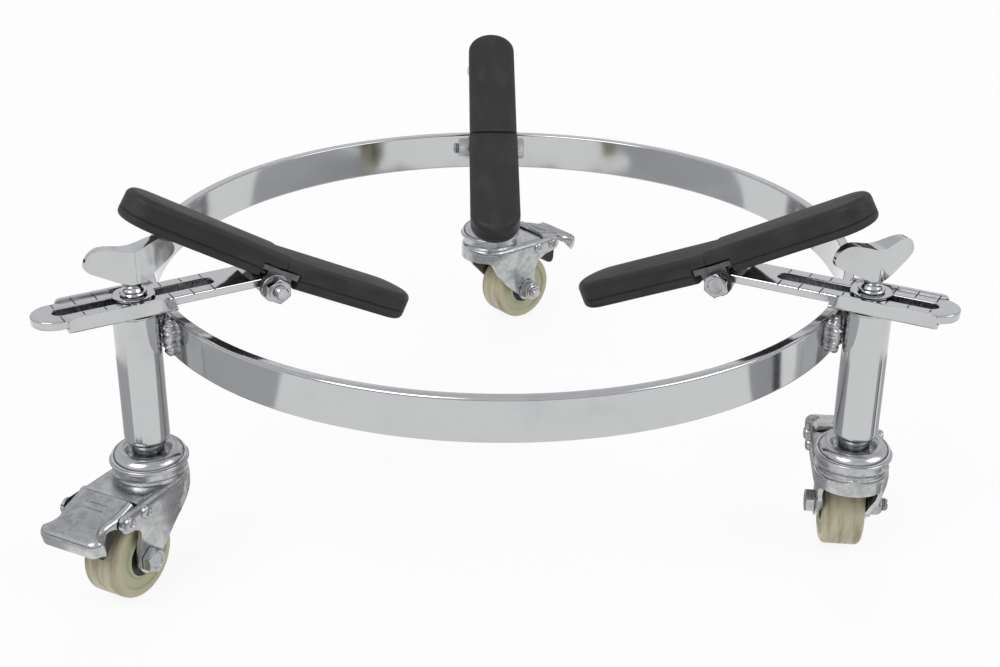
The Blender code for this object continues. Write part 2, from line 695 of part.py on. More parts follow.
def make_pedal():
    """The brake pedal about its pin: a pressed tread with a curled lip and two cheeks."""
    top = PEDAL_ABOVE_PIN
    bend = 4.5
    spine = [(x, top) for x in (-9.0, -4.0, 4.0, 8.0, 13.0, 16.0, 19.0)]
    spine += arc((PEDAL_REACH - bend, top - bend), bend, 90, 0, 4)
    spine += [(PEDAL_REACH + 0.4, top - PEDAL_LIP_DROP)]
    bm = bmesh.new()
    rows = []
    for x, z in spine:
        half = pedal_half_width(x)
        rows.append([bm.verts.new((x, half * share, z)) for share in (-1, -0.5, 0.5, 1)])
    for near, far in zip(rows, rows[1:]):
        for i in range(3):
            bm.faces.new((near[i], near[i + 1], far[i + 1], far[i]))
    bmesh.ops.recalc_face_normals(bm, faces=bm.faces)
    bm.faces.ensure_lookup_table()
    faces_up = bm.faces[0].normal.z > 0
    tread_object = bpy.data.objects.new("tread", mesh_from(bm, "tread"))
    shell = tread_object.modifiers.new("Solidify", "SOLIDIFY")
    shell.thickness = PEDAL_SHEET * MM
    shell.offset = -1.0 if faces_up else 1.0
    tread = baked(tread_object)
    cheek_outline = arc((0, 0), 5.2, 190, 350, 6)
    cheek_outline += [(10, 1.5), (16, top - PEDAL_SHEET / 2), (-8, top - PEDAL_SHEET / 2)]
    cheek_outer = PEDAL_WAIST_WIDTH / 2 - 0.2
    cheeks = upright(plate(cheek_outline, 2 * cheek_outer))
    between = cheek_outer - PEDAL_SHEET
    cheeks = cut(cheeks, block((-30, -between, -30), (30, between, top - PEDAL_SHEET)))
    pin_hole = rod(PIN_RADIUS + GAP, -40, 40, 12, "Y")
    return cut(join(tread, cheeks), pin_hole)


def make_brake_shoe():
    """The block under the pedal, hollowed to the tread, in the pedal's frame."""
    slope = math.radians(PEDAL_SLOPE)
    dx = CASTER_TRAIL - PEDAL_PIN_X
    dz = WHEEL_RADIUS - PIN_Z
    centre = (dx * math.cos(slope) - dz * math.sin(slope), dx * math.sin(slope) + dz * math.cos(slope))
    radius = WHEEL_RADIUS + SHOE_GAP
    top = PEDAL_ABOVE_PIN - PEDAL_SHEET - GAP
    clear_of_pin = PIN_RADIUS + 2 * GAP
    start = math.degrees(math.acos((clear_of_pin - centre[0]) / radius))
    low_z = -SHOE_DEPTH
    end = math.degrees(math.asin((low_z - centre[1]) / radius))
    face = arc(centre, radius, start, end, 6)
    outline = [(clear_of_pin, top)] + face
    outline += [(face[-1][0] + 4.0, low_z), (face[-1][0] + 5.5, low_z + 3), (13.0, top)]
    return upright(plate(outline, SHOE_WIDTH))


def add_empty(name, parent, location=(0, 0, 0), rotation=(0, 0, 0)):
    """An empty that carries pieces, placed in its parent's frame."""
    empty = bpy.data.objects.new(name, None)
    empty.empty_display_size = 0.02
    empty.parent = parent
    empty.location = Vector(location) * MM
    empty.rotation_euler = [math.radians(angle) for angle in rotation]
    return empty


class Stand:
    """Places the pieces in their collection, under the empties that carry them."""

    def __init__(self):
        self.collection = bpy.data.collections.new("low_conga_stand")
        bpy.context.scene.collection.children.link(self.collection)
        self.pieces = []

    def empty(self, name, parent, location=(0, 0, 0), rotation=(0, 0, 0)):
        """Adds an empty to the collection."""
        empty = add_empty(name, parent, location, rotation)
        self.collection.objects.link(empty)
        return empty

    def piece(self, name, mesh, material, parent, smooth_angle=35.0):
        """Adds a named sub-part with its own material."""
        own_mesh = mesh.copy()
        own_mesh.name = name
        own_mesh.materials.clear()
        own_mesh.materials.append(material)
        own_mesh.shade_smooth()
        own_mesh.set_sharp_from_angle(angle=math.radians(smooth_angle))
        piece = bpy.data.objects.new(name, own_mesh)
        piece.parent = parent
        self.collection.objects.link(piece)
        self.pieces.append(piece)
        return piece

    def centre_on_floor(self, origin):
        """Moves the whole stand so that the middle of its box stands over the origin."""
        bpy.context.view_layer.update()
        low = Vector((1e9, 1e9, 1e9))
        high = -low
        for piece in self.pieces:
            for vertex in piece.data.vertices:
                point = piece.matrix_world @ vertex.co
                low = Vector(map(min, low, point))
                high = Vector(map(max, high, point))
        middle = (low + high) / 2
        origin.location -= Vector((middle.x, middle.y, low.z))
        bpy.context.view_layer.update()


def make_finishes():
    """The materials, one for each kind of surface."""
    return {
        "chrome": make_material("polished_chrome", (0.80, 0.80, 0.82), 1.0, 0.08),
        "zinc": make_material("zinc_plate", (0.62, 0.64, 0.66), 1.0, 0.30),
        "rubber": make_material("black_rubber", (0.035, 0.035, 0.036), 0.0, 0.55),
        "nylon": make_material("ivory_nylon", (0.80, 0.78, 0.66), 0.0, 0.40),
        "seal": make_material("bearing_seal", (0.03, 0.03, 0.035), 0.0, 0.45),
    }


def make_shapes():
    """Every repeated mesh, made once."""
    outer_sleeve, inner_sleeve = make_sleeves()
    axle_grip = 2 * (FORK_FOOT_INSIDE + FORK_SHEET)
    return {
        "upright_tube": make_upright_tube(),
        "channel_guide": make_channel_guide(),
        "slide_bar": make_slide_bar(),
        "clamp_stud": make_clamp_stud(),
        "clamp_washer": make_washer(),
        "wing_nut": make_wing_nut(),
        "pivot_bolt": make_bolt(2 * EAR_OUTSIDE),
        "pivot_nut": make_nut(2 * EAR_OUTSIDE),
        "arm_core": make_arm_core(),
        "outer_sleeve": outer_sleeve,
        "inner_sleeve": inner_sleeve,
        "caster_stem": make_caster_stem(),
        "caster_fork": make_fork(),
        "caster_wheel": make_wheel(),
        "wheel_bearing": make_bearing(),
        "axle_bolt": make_bolt(axle_grip),
        "axle_nut": make_nut(axle_grip),
        "brake_pedal": make_pedal(),
        "brake_shoe": make_brake_shoe(),
    }


def build_leg(stand, origin, leg, shapes, finishes):
    """Places every piece of one leg."""
    azimuth = LEG_AZIMUTH[leg]

    def add(kind, finish, parent):
        stand.piece(f"{leg}_{kind}", shapes[kind], finishes[finish], parent)

    frame = stand.empty(f"{leg}_leg_axes", origin, rotation=(0, 0, azimuth))
    stud_axis = stand.empty(f"{leg}_stud_axis", frame, (TUBE_FROM_AXIS, 0, 0))
    add("upright_tube", "chrome", stud_axis)
    add("channel_guide", "chrome", frame)
    add("clamp_washer", "chrome", stud_axis)
    add("clamp_stud", "zinc", stud_axis)
    wing_axis = stand.empty(f"{leg}_wing_axis", stud_axis, (0, 0, NUT_BOTTOM_Z),
                            (0, 0, WING_AZIMUTH[leg] - azimuth))
    add("wing_nut", "chrome", wing_axis)

    slide = stand.empty(f"{leg}_slide_way", frame, (SLIDE_OUT[leg], 0, 0))
    add("slide_bar", "chrome", slide)
    pivot = stand.empty(f"{leg}_pivot_axis", slide, (PIVOT_FROM_AXIS, 0, PIVOT_Z))
    bolt_axis = stand.empty(f"{leg}_bolt_axis", pivot, rotation=(0, 0, 180))
    add("pivot_bolt", "zinc", bolt_axis)
    add("pivot_nut", "zinc", bolt_axis)
    arm = stand.empty(f"{leg}_arm_axis", pivot, rotation=(0, -PAD_TILT[leg], 0))
    add("arm_core", "zinc", arm)
    add("outer_sleeve", "rubber", arm)
    add("inner_sleeve", "rubber", arm)

    swivel = stand.empty(f"{leg}_swivel_axis", stud_axis,
                         rotation=(0, 0, CASTER_AZIMUTH[leg] - azimuth))
    add("caster_stem", "zinc", stud_axis)
    add("caster_fork", "zinc", swivel)
    axle = stand.empty(f"{leg}_axle_axis", swivel, (CASTER_TRAIL, 0, WHEEL_RADIUS))
    add("caster_wheel", "nylon", axle)
    add("wheel_bearing", "seal", axle)
    add("axle_bolt", "zinc", axle)
    add("axle_nut", "zinc", axle)
    pedal_axis = stand.empty(f"{leg}_pedal_axis", swivel, (PEDAL_PIN_X, 0, PIN_Z),
                             (0, PEDAL_SLOPE, 0))
    add("brake_pedal", "zinc", pedal_axis)
    add("brake_shoe", "rubber", pedal_axis)


def main():
    """Builds the stand."""
    clear_scene()
    finishes = make_finishes()
    shapes = make_shapes()
    stand = Stand()
    origin = stand.empty("stand_origin", None)
    stand.piece("hoop_ring", make_ring(), finishes["chrome"], origin)
    for leg in LEG_NAMES:
        build_leg(stand, origin, leg, shapes, finishes)
    stand.centre_on_floor(origin)


main()
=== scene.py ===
"""A low rolling stand for a conga drum, dressed for a plain studio photograph.

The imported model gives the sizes, the bodies and the joints.  Most of its pieces are made
again here with finer shapes, in the same places, and each gets a procedural finish.
Shapes are made in millimetres in the frame of what carries them, and are then baked
into the stand's frame in metres, so every object stays at the origin.
"""

import logging
import math
from dataclasses import dataclass, field
from enum import Enum
from typing import Any, Callable, Sequence

import bmesh
import bpy
from mathutils import Matrix, Vector


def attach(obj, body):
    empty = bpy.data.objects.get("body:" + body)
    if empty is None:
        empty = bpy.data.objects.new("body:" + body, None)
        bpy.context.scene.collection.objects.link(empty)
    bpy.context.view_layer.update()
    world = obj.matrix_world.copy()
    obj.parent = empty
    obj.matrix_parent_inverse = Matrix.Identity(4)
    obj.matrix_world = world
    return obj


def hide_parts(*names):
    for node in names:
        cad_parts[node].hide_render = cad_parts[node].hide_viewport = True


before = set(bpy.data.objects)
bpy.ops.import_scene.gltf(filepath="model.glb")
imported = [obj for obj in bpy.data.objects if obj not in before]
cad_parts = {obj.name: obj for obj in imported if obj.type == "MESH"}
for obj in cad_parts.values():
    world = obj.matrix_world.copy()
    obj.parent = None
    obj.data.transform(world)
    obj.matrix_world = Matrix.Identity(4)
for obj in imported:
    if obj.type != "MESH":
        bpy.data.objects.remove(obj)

logging.basicConfig(level=logging.INFO, format="%(message)s")
log = logging.getLogger("stand")

Point2 = tuple[float, float]
Point3 = tuple[float, float, float]
GAP = 0.3


def turn(axis: str, degrees: float) -> Matrix:
    """A rotation matrix about a named axis."""
    return Matrix.Rotation(math.radians(degrees), 4, axis)


def shift(x: float = 0.0, y: float = 0.0, z: float = 0.0) -> Matrix:
    """A move in millimetres."""
    return Matrix.Translation(Vector((x, y, z)))


def arc(centre: Point2, radius: float, start: float, end: float, steps: int) -> list[Point2]:
    """Points on an arc.

    Args:
        centre: the arc's centre.
        radius: its radius.
        start: first angle in degrees.
        end: last angle in degrees.
        steps: how many equal steps lie between them.

    Returns:
        The points, both ends included.
    """
    points = []
    for i in range(steps + 1):
        angle = math.radians(start + (end - start) * i / steps)
        points.append((centre[0] + radius * math.cos(angle),
                       centre[1] + radius * math.sin(angle)))
    return points


def mirrored(half: list[Point2]) -> list[Point2]:
    """A profile down to the middle, and its mirror image from there on."""
    return half + [(x, -z) for x, z in reversed(half)]


def ease(share: float) -> float:
    """A smooth step from 0 to 1."""
    return share * share * (3 - 2 * share)


def meshed(name: str, bm: bmesh.types.BMesh) -> bpy.types.Mesh:
    """Makes a mesh of a bmesh.

    Args:
        name: the mesh's name.
        bm: the bmesh, which is freed.

    Returns:
        The mesh.
    """
    mesh = bpy.data.meshes.new(name)
    bm.to_mesh(mesh)
    bm.free()
    return mesh


def linked(name: str, data: Any) -> bpy.types.Object:
    """Puts a new object in the scene.

    Args:
        name: the object's name.
        data: its mesh, curve, lamp or camera.

    Returns:
        The object.
    """
    thing = bpy.data.objects.new(name, data)
    bpy.context.scene.collection.objects.link(thing)
    return thing


class Boolean(Enum):
    """How two shapes are put together."""

    JOIN = "UNION"
    CUT = "DIFFERENCE"
    COMMON = "INTERSECT"


class Shape:
    """A closed mesh in millimetres, made and changed step by step."""

    def __init__(self, mesh: bpy.types.Mesh) -> None:
        """Takes over a mesh."""
        self.mesh = mesh

    @classmethod
    def from_bmesh(cls, bm: bmesh.types.BMesh) -> "Shape":
        """Merges a bmesh's doubles and turns its faces outward.

        Args:
            bm: the bmesh, which is freed.

        Returns:
            The shape.
        """
        bmesh.ops.remove_doubles(bm, verts=bm.verts, dist=1e-4)
        bmesh.ops.recalc_face_normals(bm, faces=bm.faces)
        return cls(meshed("shape", bm))

    @classmethod
    def evaluated(cls, thing: bpy.types.Object) -> "Shape":
        """Takes an object's evaluated mesh and removes the object.

        Args:
            thing: an object in the scene.

        Returns:
            Its shape with its modifiers applied.
        """
        graph = bpy.context.evaluated_depsgraph_get()
        mesh = bpy.data.meshes.new_from_object(thing.evaluated_get(graph))
        bpy.data.objects.remove(thing, do_unlink=True)
        bm = bmesh.new()
        bm.from_mesh(mesh)
        bpy.data.meshes.remove(mesh)
        return cls.from_bmesh(bm)

    @classmethod
    def turned(cls, profile: Sequence[Point2], steps: int = 72, closed: bool = False,
               axis: str = "Z") -> "Shape":
        """A turned shape.

        Args:
            profile: (radius, height) points.
            steps: faces round the full turn.
            closed: whether the profile's last point joins its first.
            axis: "Z", or "Y" to lay the shape along Y.

        Returns:
            The closed shape.
        """
        bm = bmesh.new()
        verts = [bm.verts.new((radius, 0.0, height)) for radius, height in profile]
        edges = [bm.edges.new(pair) for pair in zip(verts, verts[1:])]
        if closed:
            edges.append(bm.edges.new((verts[-1], verts[0])))
        bmesh.ops.spin(bm, geom=verts + edges, cent=(0, 0, 0), axis=(0, 0, 1), dvec=(0, 0, 0),
                       angle=math.tau, steps=steps, use_merge=True, use_duplicate=False)
        shape = cls.from_bmesh(bm)
        return shape.moved(turn("X", -90)) if axis == "Y" else shape

    @classmethod
    def rod(cls, radius: float, low: float, high: float, steps: int = 40,
            axis: str = "Z") -> "Shape":
        """A plain cylinder between two heights."""
        return cls.turned([(0, high), (radius, high), (radius, low), (0, low)], steps, axis=axis)

    @classmethod
    def slab(cls, outline: Sequence[Point2], thickness: float, edge: float = 0.0,
             rounds: int = 2, holes: Sequence[Sequence[Point2]] = ()) -> "Shape":
        """A flat plate in the XY plane, centred on Z, with rounded edges.

        Args:
            outline: the plate's outline.
            thickness: its full thickness.
            edge: radius of the rounded edges.
            rounds: steps in that rounding.
            holes: outlines of holes through it.

        Returns:
            The closed plate.
        """
        curve = bpy.data.curves.new("outline", "CURVE")
        curve.dimensions = "2D"
        curve.fill_mode = "BOTH"
        curve.extrude = thickness / 2 - edge
        curve.bevel_depth = edge
        curve.bevel_resolution = rounds
        curve.offset = -edge
        for points in (outline, *holes):
            spline = curve.splines.new("POLY")
            spline.points.add(len(points) - 1)
            for point, (x, y) in zip(spline.points, points):
                point.co = (x, y, 0.0, 1.0)
            spline.use_cyclic_u = True
        return cls.evaluated(linked("slab", curve))

    @classmethod
    def block(cls, low: Point3, high: Point3) -> "Shape":
        """A box, for cutting.

        Args:
            low: its corner with the least numbers.
            high: the opposite corner.

        Returns:
            The box.
        """
        bm = bmesh.new()
        bmesh.ops.create_cube(bm, size=1.0)
        size = [b - a for a, b in zip(low, high)]
        centre = [(a + b) / 2 for a, b in zip(low, high)]
        bmesh.ops.scale(bm, vec=size, verts=bm.verts)
        bmesh.ops.translate(bm, vec=centre, verts=bm.verts)
        return cls.from_bmesh(bm)

    @classmethod
    def lofted(cls, sections: Sequence[Sequence[Point3]]) -> "Shape":
        """A closed skin over a row of closed sections.

        Args:
            sections: the sections in order, with equal counts of points.

        Returns:
            The closed shape, with a flat cap at each end.
        """
        bm = bmesh.new()
        loops = []
        for section in sections:
            verts = [bm.verts.new(point) for point in section]
            loops.append([bm.edges.new((verts[i - 1], verts[i])) for i in range(len(verts))])
        for near, far in zip(loops, loops[1:]):
            bmesh.ops.bridge_loops(bm, edges=near + far)
        bmesh.ops.holes_fill(bm, edges=bm.edges, sides=0)
        return cls.from_bmesh(bm)

    def moved(self, matrix: Matrix) -> "Shape":
        """This shape, moved."""
        self.mesh.transform(matrix)
        return self

    def upright(self) -> "Shape":
        """This plate stood up: its outline's second number becomes the height."""
        return self.moved(turn("X", 90))

    def put(self, kind: str, **settings: Any) -> "Shape":
        """This shape through one modifier.

        Args:
            kind: the modifier's type.
            settings: its properties.

        Returns:
            The new shape.
        """
        thing = linked("shape", self.mesh)
        modifier = thing.modifiers.new(kind, kind)
        for key, value in settings.items():
            setattr(modifier, key, value)
        return Shape.evaluated(thing)

    def combined(self, how: Boolean, *tools: "Shape") -> "Shape":
        """This shape and others through exact Booleans, one after another.

        Args:
            how: what each Boolean does.
            tools: the other shapes.

        Returns:
            The new shape.
        """
        result = self
        for tool in tools:
            cutter = linked("tool", tool.mesh)
            result = result.put("BOOLEAN", operation=how.value, solver="EXACT", object=cutter)
            bpy.data.objects.remove(cutter, do_unlink=True)
        return result

    def joined(self, *tools: "Shape") -> "Shape":
        """The union of this shape and others."""
        return self.combined(Boolean.JOIN, *tools)

    def cut(self, *tools: "Shape") -> "Shape":
        """This shape with others cut from it."""
        return self.combined(Boolean.CUT, *tools)

    def common(self, *tools: "Shape") -> "Shape":
        """What this shape and others have in common."""
        return self.combined(Boolean.COMMON, *tools)

    def softened(self, width: float, rounds: int = 2, angle: float = 32.0) -> "Shape":
        """This shape with its sharp edges rounded off.

        Args:
            width: width of the rounding.
            rounds: its steps.
            angle: the least turn between two faces that counts as sharp, in degrees.

        Returns:
            The rounded shape.
        """
        return self.put("BEVEL", width=width, segments=rounds, limit_method="ANGLE",
                        angle_limit=math.radians(angle), use_clamp_overlap=True,
                        offset_type="OFFSET", miter_outer="MITER_ARC")

    def sliced(self, axis: int, places: Sequence[float]) -> "Shape":
        """This shape with edges added where planes across an axis meet it.

        Args:
            axis: 0, 1 or 2 for X, Y or Z.
            places: where the planes cross it.

        Returns:
            The new shape.
        """
        bm = bmesh.new()
        bm.from_mesh(self.mesh)
        normal = Vector((0, 0, 0))
        normal[axis] = 1.0
        for place in places:
            bmesh.ops.bisect_plane(bm, geom=bm.verts[:] + bm.edges[:] + bm.faces[:],
                                   plane_co=normal * place, plane_no=normal, dist=1e-4)
        return Shape.from_bmesh(bm)

    def bent(self, change: Callable[[Vector], Vector]) -> "Shape":
        """This shape with every point passed through a function.

        Args:
            change: gives a point's new place.

        Returns:
            This shape.
        """
        for vert in self.mesh.vertices:
            vert.co = change(vert.co.copy())
        return self


class Value:
    """A shader socket that takes part in arithmetic."""

    def __init__(self, graph: "Graph", socket: bpy.types.NodeSocket) -> None:
        """Holds a socket and the graph that it is in."""
        self.graph = graph
        self.socket = socket

    def _math(self, operation: str, first: Any, second: Any) -> "Value":
        """One Math node."""
        return self.graph.node("ShaderNodeMath", {"operation": operation}, {0: first, 1: second})

    def __add__(self, other: Any) -> "Value":
        """Sum."""
        return self._math("ADD", self, other)

    def __radd__(self, other: Any) -> "Value":
        """Sum, reflected."""
        return self._math("ADD", other, self)

    def __sub__(self, other: Any) -> "Value":
        """Difference."""
        return self._math("SUBTRACT", self, other)

    def __rsub__(self, other: Any) -> "Value":
        """Difference, reflected."""
        return self._math("SUBTRACT", other, self)

    def __mul__(self, other: Any) -> "Value":
        """Product."""
        return self._math("MULTIPLY", self, other)

    def __rmul__(self, other: Any) -> "Value":
        """Product, reflected."""
        return self._math("MULTIPLY", other, self)

    def __pow__(self, other: Any) -> "Value":
        """Power."""
        return self._math("POWER", self, other)

    def __rpow__(self, other: Any) -> "Value":
        """Power, reflected."""
        return self._math("POWER", other, self)

    def __abs__(self) -> "Value":
        """Size without its sign."""
        return self._math("ABSOLUTE", self, 0.0)


class Graph:
    """A material's nodes round one Principled shader."""

    def __init__(self, name: str) -> None:
        """Makes the material.

        Args:
            name: the material's name.
        """
        self.material = bpy.data.materials.new(name)
        self.material.use_nodes = True
        self.tree = self.material.node_tree
        self.shader = self.tree.nodes["Principled BSDF"]

    def feed(self, value: Any, socket: bpy.types.NodeSocket) -> None:
        """Links a value to a socket, or sets the socket to a constant.

        Args:
            value: the value or the constant.
            socket: an input of a node.
        """
        if isinstance(value, Value):
            self.tree.links.new(value.socket, socket)
        else:
            socket.default_value = value

    def node(self, kind: str, settings: dict[str, Any] | None = None,
             inputs: dict[Any, Any] | None = None, output: Any = 0) -> Value:
        """Adds any node.

        Args:
            kind: the node's type.
            settings: its properties, set first.
            inputs: its inputs by name or number.
            output: name or number of the output to use.

        Returns:
            The chosen output.
        """
        made = self.tree.nodes.new(kind)
        for key, value in (settings or {}).items():
            setattr(made, key, value)
        for key, value in (inputs or {}).items():
            self.feed(value, made.inputs[key])
        return Value(self, made.outputs[output])

    def place(self) -> Value:
        """Object coordinates, in metres in the stand's frame."""
        return self.node("ShaderNodeTexCoord", output="Object")

    def local(self) -> Value:
        """The point in the frame of the piece, in millimetres."""
        return self.node("ShaderNodeAttribute", {"attribute_name": "local"}, output="Vector")

    def part(self, vector: Value, axis: str) -> Value:
        """One part, X, Y or Z, of a vector."""
        return self.node("ShaderNodeSeparateXYZ", {}, {0: vector}, axis)

    def noise(self, scale: float, detail: float = 3.0, vector: Value | None = None,
              stretch: Point3 = (1.0, 1.0, 1.0), roughness: float = 0.5) -> Value:
        """Noise from 0 to 1.

        Args:
            scale: features for each unit of length.
            detail: octaves.
            vector: where to read it, object coordinates by default.
            stretch: factors on the three axes.
            roughness: weight of the finer octaves.

        Returns:
            The noise value.
        """
        at = self.node("ShaderNodeVectorMath", {"operation": "MULTIPLY"},
                       {0: vector or self.place(), 1: stretch})
        return self.node("ShaderNodeTexNoise", {},
                         {"Vector": at, "Scale": scale, "Detail": detail, "Roughness": roughness},
                         "Fac")

    def between(self, value: Value, low: float, high: float, to_low: float = 0.0,
                to_high: float = 1.0) -> Value:
        """A smooth step: to_low under low, to_high over high."""
        return self.node("ShaderNodeMapRange", {"interpolation_type": "SMOOTHSTEP"},
                         {0: value, 1: low, 2: high, 3: to_low, 4: to_high})

    def mix(self, factor: Any, first: Any, second: Any) -> Value:
        """A mix of two colours."""
        return self.node("ShaderNodeMix", {"data_type": "RGBA"}, {0: factor, 6: first, 7: second},
                         2)

    def bump(self, height: Value, strength: float, distance: float,
             normal: Value | None = None) -> Value:
        """A bumped normal.

        Args:
            height: the pattern that stands out.
            strength: how strongly it shows.
            distance: its full height in metres.
            normal: the normal under it, the plain one by default.

        Returns:
            The normal.
        """
        inputs = {"Height": height, "Strength": strength, "Distance": distance}
        if normal is not None:
            inputs["Normal"] = normal
        return self.node("ShaderNodeBump", {}, inputs, "Normal")

    def finish(self, **sockets: Any) -> bpy.types.Material:
        """Feeds the shader's sockets.

        Args:
            sockets: what goes into each, its name with _ for spaces.

        Returns:
            The material.
        """
        for key, value in sockets.items():
            self.feed(value, self.shader.inputs[key.replace("_", " ")])
        return self.material


Colour = tuple[float, float, float, float]


@dataclass(frozen=True)
class Chrome:
    """Bright plating: soft waves from the polishing, faint haze and a few dull specks."""

    name: str
    bright: Colour = (0.55, 0.555, 0.56, 1.0)
    hazy: Colour = (0.45, 0.45, 0.46, 1.0)
    roughness: float = 0.07
    waves: float = 0.10
    wave_scale: float = 26.0
    lumps: float = 0.0
    slotted: bool = False

    def shaded_slot_walls(self, g: "Graph") -> Value:
        """Finds the sheared walls of the slide bar's slot and its stamped lines, which get painted
        shade.

        Args:
            g: the material's graph.

        Returns:
            1 on them and 0 elsewhere.
        """
        local = g.local()
        across = abs(g.part(local, "Y"))
        along = g.part(local, "X")
        low, high, half = LEVELS.slot_inner, LEVELS.slot_outer, LEVELS.slot_width / 2
        past = along - g.node("ShaderNodeClamp", {}, {0: along, 1: low + half, 2: high - half})
        from_middle = past * past + across * across
        inside = g.between(from_middle, (half + 0.05) ** 2, (half + 0.16) ** 2, 1.0, 0.0)
        nearest = g.node("ShaderNodeMath", {"operation": "PINGPONG"},
                         {0: along - (low + LEVELS.first_tick), 1: LEVELS.tick_step / 2})
        margin = half + LEVELS.tick_margin
        lines = g.between(nearest, 0.22, 0.46, 1.0, 0.0) * g.between(across, margin, margin + 0.3)
        lines = lines * g.between(along, low + 2.0, low + 3.0)
        top = g.between(g.part(local, "Z"), LEVELS.slide_top - 0.8, LEVELS.slide_top - 0.6)
        return inside + lines * top * g.between(along, high - 1.8, high + 0.2, 1.0, 0.0)

    def material(self) -> bpy.types.Material:
        """Makes the finish's nodes.

        Returns:
            The material.
        """
        g = Graph(self.name)
        haze = g.between(g.noise(38.0, 5.0), 0.50, 0.80)
        specks = g.between(g.noise(2600.0, 2.0), 0.70, 0.78)
        scratch = g.between(g.noise(160.0, 6.0, stretch=(1.0, 1.0, 9.0)), 0.60, 0.70)
        colour = g.mix(haze * 0.4 + specks * 0.35, self.bright, self.hazy)
        rough = self.roughness + haze * 0.03 + specks * 0.18 + scratch * 0.05
        normal = g.bump(g.noise(self.wave_scale, 1.5), self.waves, 0.002)
        normal = g.bump(g.noise(1400.0, 3.0), 0.05, 0.0002, normal)
        if self.lumps > 0:
            normal = g.bump(g.noise(420.0, 3.0), self.lumps, 0.0012, normal)
        if self.slotted:
            shaded_walls = self.shaded_slot_walls(g)
            shear_and_shade = g.noise(900.0, 3.0, stretch=(1.0, 1.0, 0.3))
            # Painted shade: the slot's walls and the stamped grooves are made near-black, darker
            # where the shear noise is high; the added roughness and bump stand for the rough
            # sheared metal.
            colour = g.mix(shaded_walls * (0.55 + shear_and_shade * 0.6), colour, (0.045, 0.045, 0.047, 1.0))
            rough = rough + shaded_walls * 0.35
            normal = g.bump(shear_and_shade * shaded_walls, 0.9, 0.0008, normal)
        return g.finish(Base_Color=colour, Roughness=rough, Metallic=1.0, Normal=normal)


@dataclass(frozen=True)
class Zinc:
    """Bright zinc on steel: mottled, a little rough, paler on its sharp edges."""

    name: str
    pale: Colour = (0.50, 0.505, 0.51, 1.0)
    dull: Colour = (0.27, 0.275, 0.28, 1.0)
    roughness: float = 0.20
    grain: float = 0.05
    edges: float = 0.35

    def material(self) -> bpy.types.Material:
        """Makes the finish's nodes.

        Returns:
            The material.
        """
        g = Graph(self.name)
        mottle = g.between(g.noise(190.0, 5.0, roughness=0.6), 0.36, 0.66)
        cloud = g.between(g.noise(60.0, 3.0), 0.35, 0.70)
        pits = g.between(g.noise(1900.0, 3.0), 0.72, 0.80)
        edge = g.between(g.node("ShaderNodeNewGeometry", output="Pointiness"), 0.52, 0.60)
        colour = g.mix(mottle * 0.42 + cloud * 0.25, self.pale, self.dull)
        colour = g.mix(pits * 0.4, colour, (0.14, 0.13, 0.12, 1.0))
        # Sharp edges, found by pointiness, are made paler and a little smoother.
        colour = g.mix(edge * self.edges, colour, (0.70, 0.71, 0.72, 1.0))
        rough = self.roughness + mottle * 0.12 + pits * 0.2 - edge * 0.06
        normal = g.bump(g.noise(900.0, 4.0), self.grain, 0.0003)
        normal = g.bump(g.noise(70.0, 2.0), 0.025, 0.002, normal)
        return g.finish(Base_Color=colour, Roughness=rough, Metallic=1.0, Normal=normal)


@dataclass(frozen=True)
class Rubber:
    """Satin moulded rubber with flow marks, a painted highlight along its edges and a parting line
    low on its sides.
    """

    name: str
    parting: float = 7.6
    dark: Colour = (0.021, 0.021, 0.0215, 1.0)
    # Paler tone for the flow marks, and the painted highlight on the edges.
    paler_flow_and_edge_highlight: Colour = (0.042, 0.042, 0.043, 1.0)

    def material(self) -> bpy.types.Material:
        """Makes the finish's nodes.

        Returns:
            The material.
        """
        g = Graph(self.name)
        local = g.local()
        flow = g.between(g.noise(0.10, 5.0, vector=local, stretch=(0.35, 1.0, 1.0)), 0.42, 0.68)
        dust = g.between(g.noise(0.9, 4.0, vector=local), 0.60, 0.78)
        line = g.between(abs(g.part(local, "Z") - self.parting), 0.25, 0.60, 1.0, 0.0)
        edge = g.between(g.node("ShaderNodeNewGeometry", output="Pointiness"), 0.51, 0.58)
        # Flow marks are the rubber's own paler tone; the paler edges found by pointiness are a
        # painted highlight.
        colour = g.mix(flow * 0.5 + edge * 0.35, self.dark, self.paler_flow_and_edge_highlight)
        colour = g.mix(dust * 0.2, colour, (0.06, 0.06, 0.06, 1.0))
        colour = g.mix(line * 0.6, colour, (0.002, 0.002, 0.002, 1.0))
        g.shader.inputs["Specular IOR Level"].default_value = 0.3
        rough = 0.46 + flow * 0.10 + dust * 0.12 - edge * 0.05
        normal = g.bump(g.noise(3.2, 4.0, vector=local), 0.10, 0.0003)
        normal = g.bump(line, 1.0, 0.0012, normal)
        flow_lines = g.noise(0.22, 3.0, vector=local, stretch=(0.3, 1.0, 2.5))
        normal = g.bump(flow_lines, 0.30, 0.0015, normal)
        normal = g.bump(g.noise(0.05, 2.0, vector=local), 0.25, 0.002, normal)
        return g.finish(Base_Color=colour, Roughness=rough, Metallic=0.0, Normal=normal)


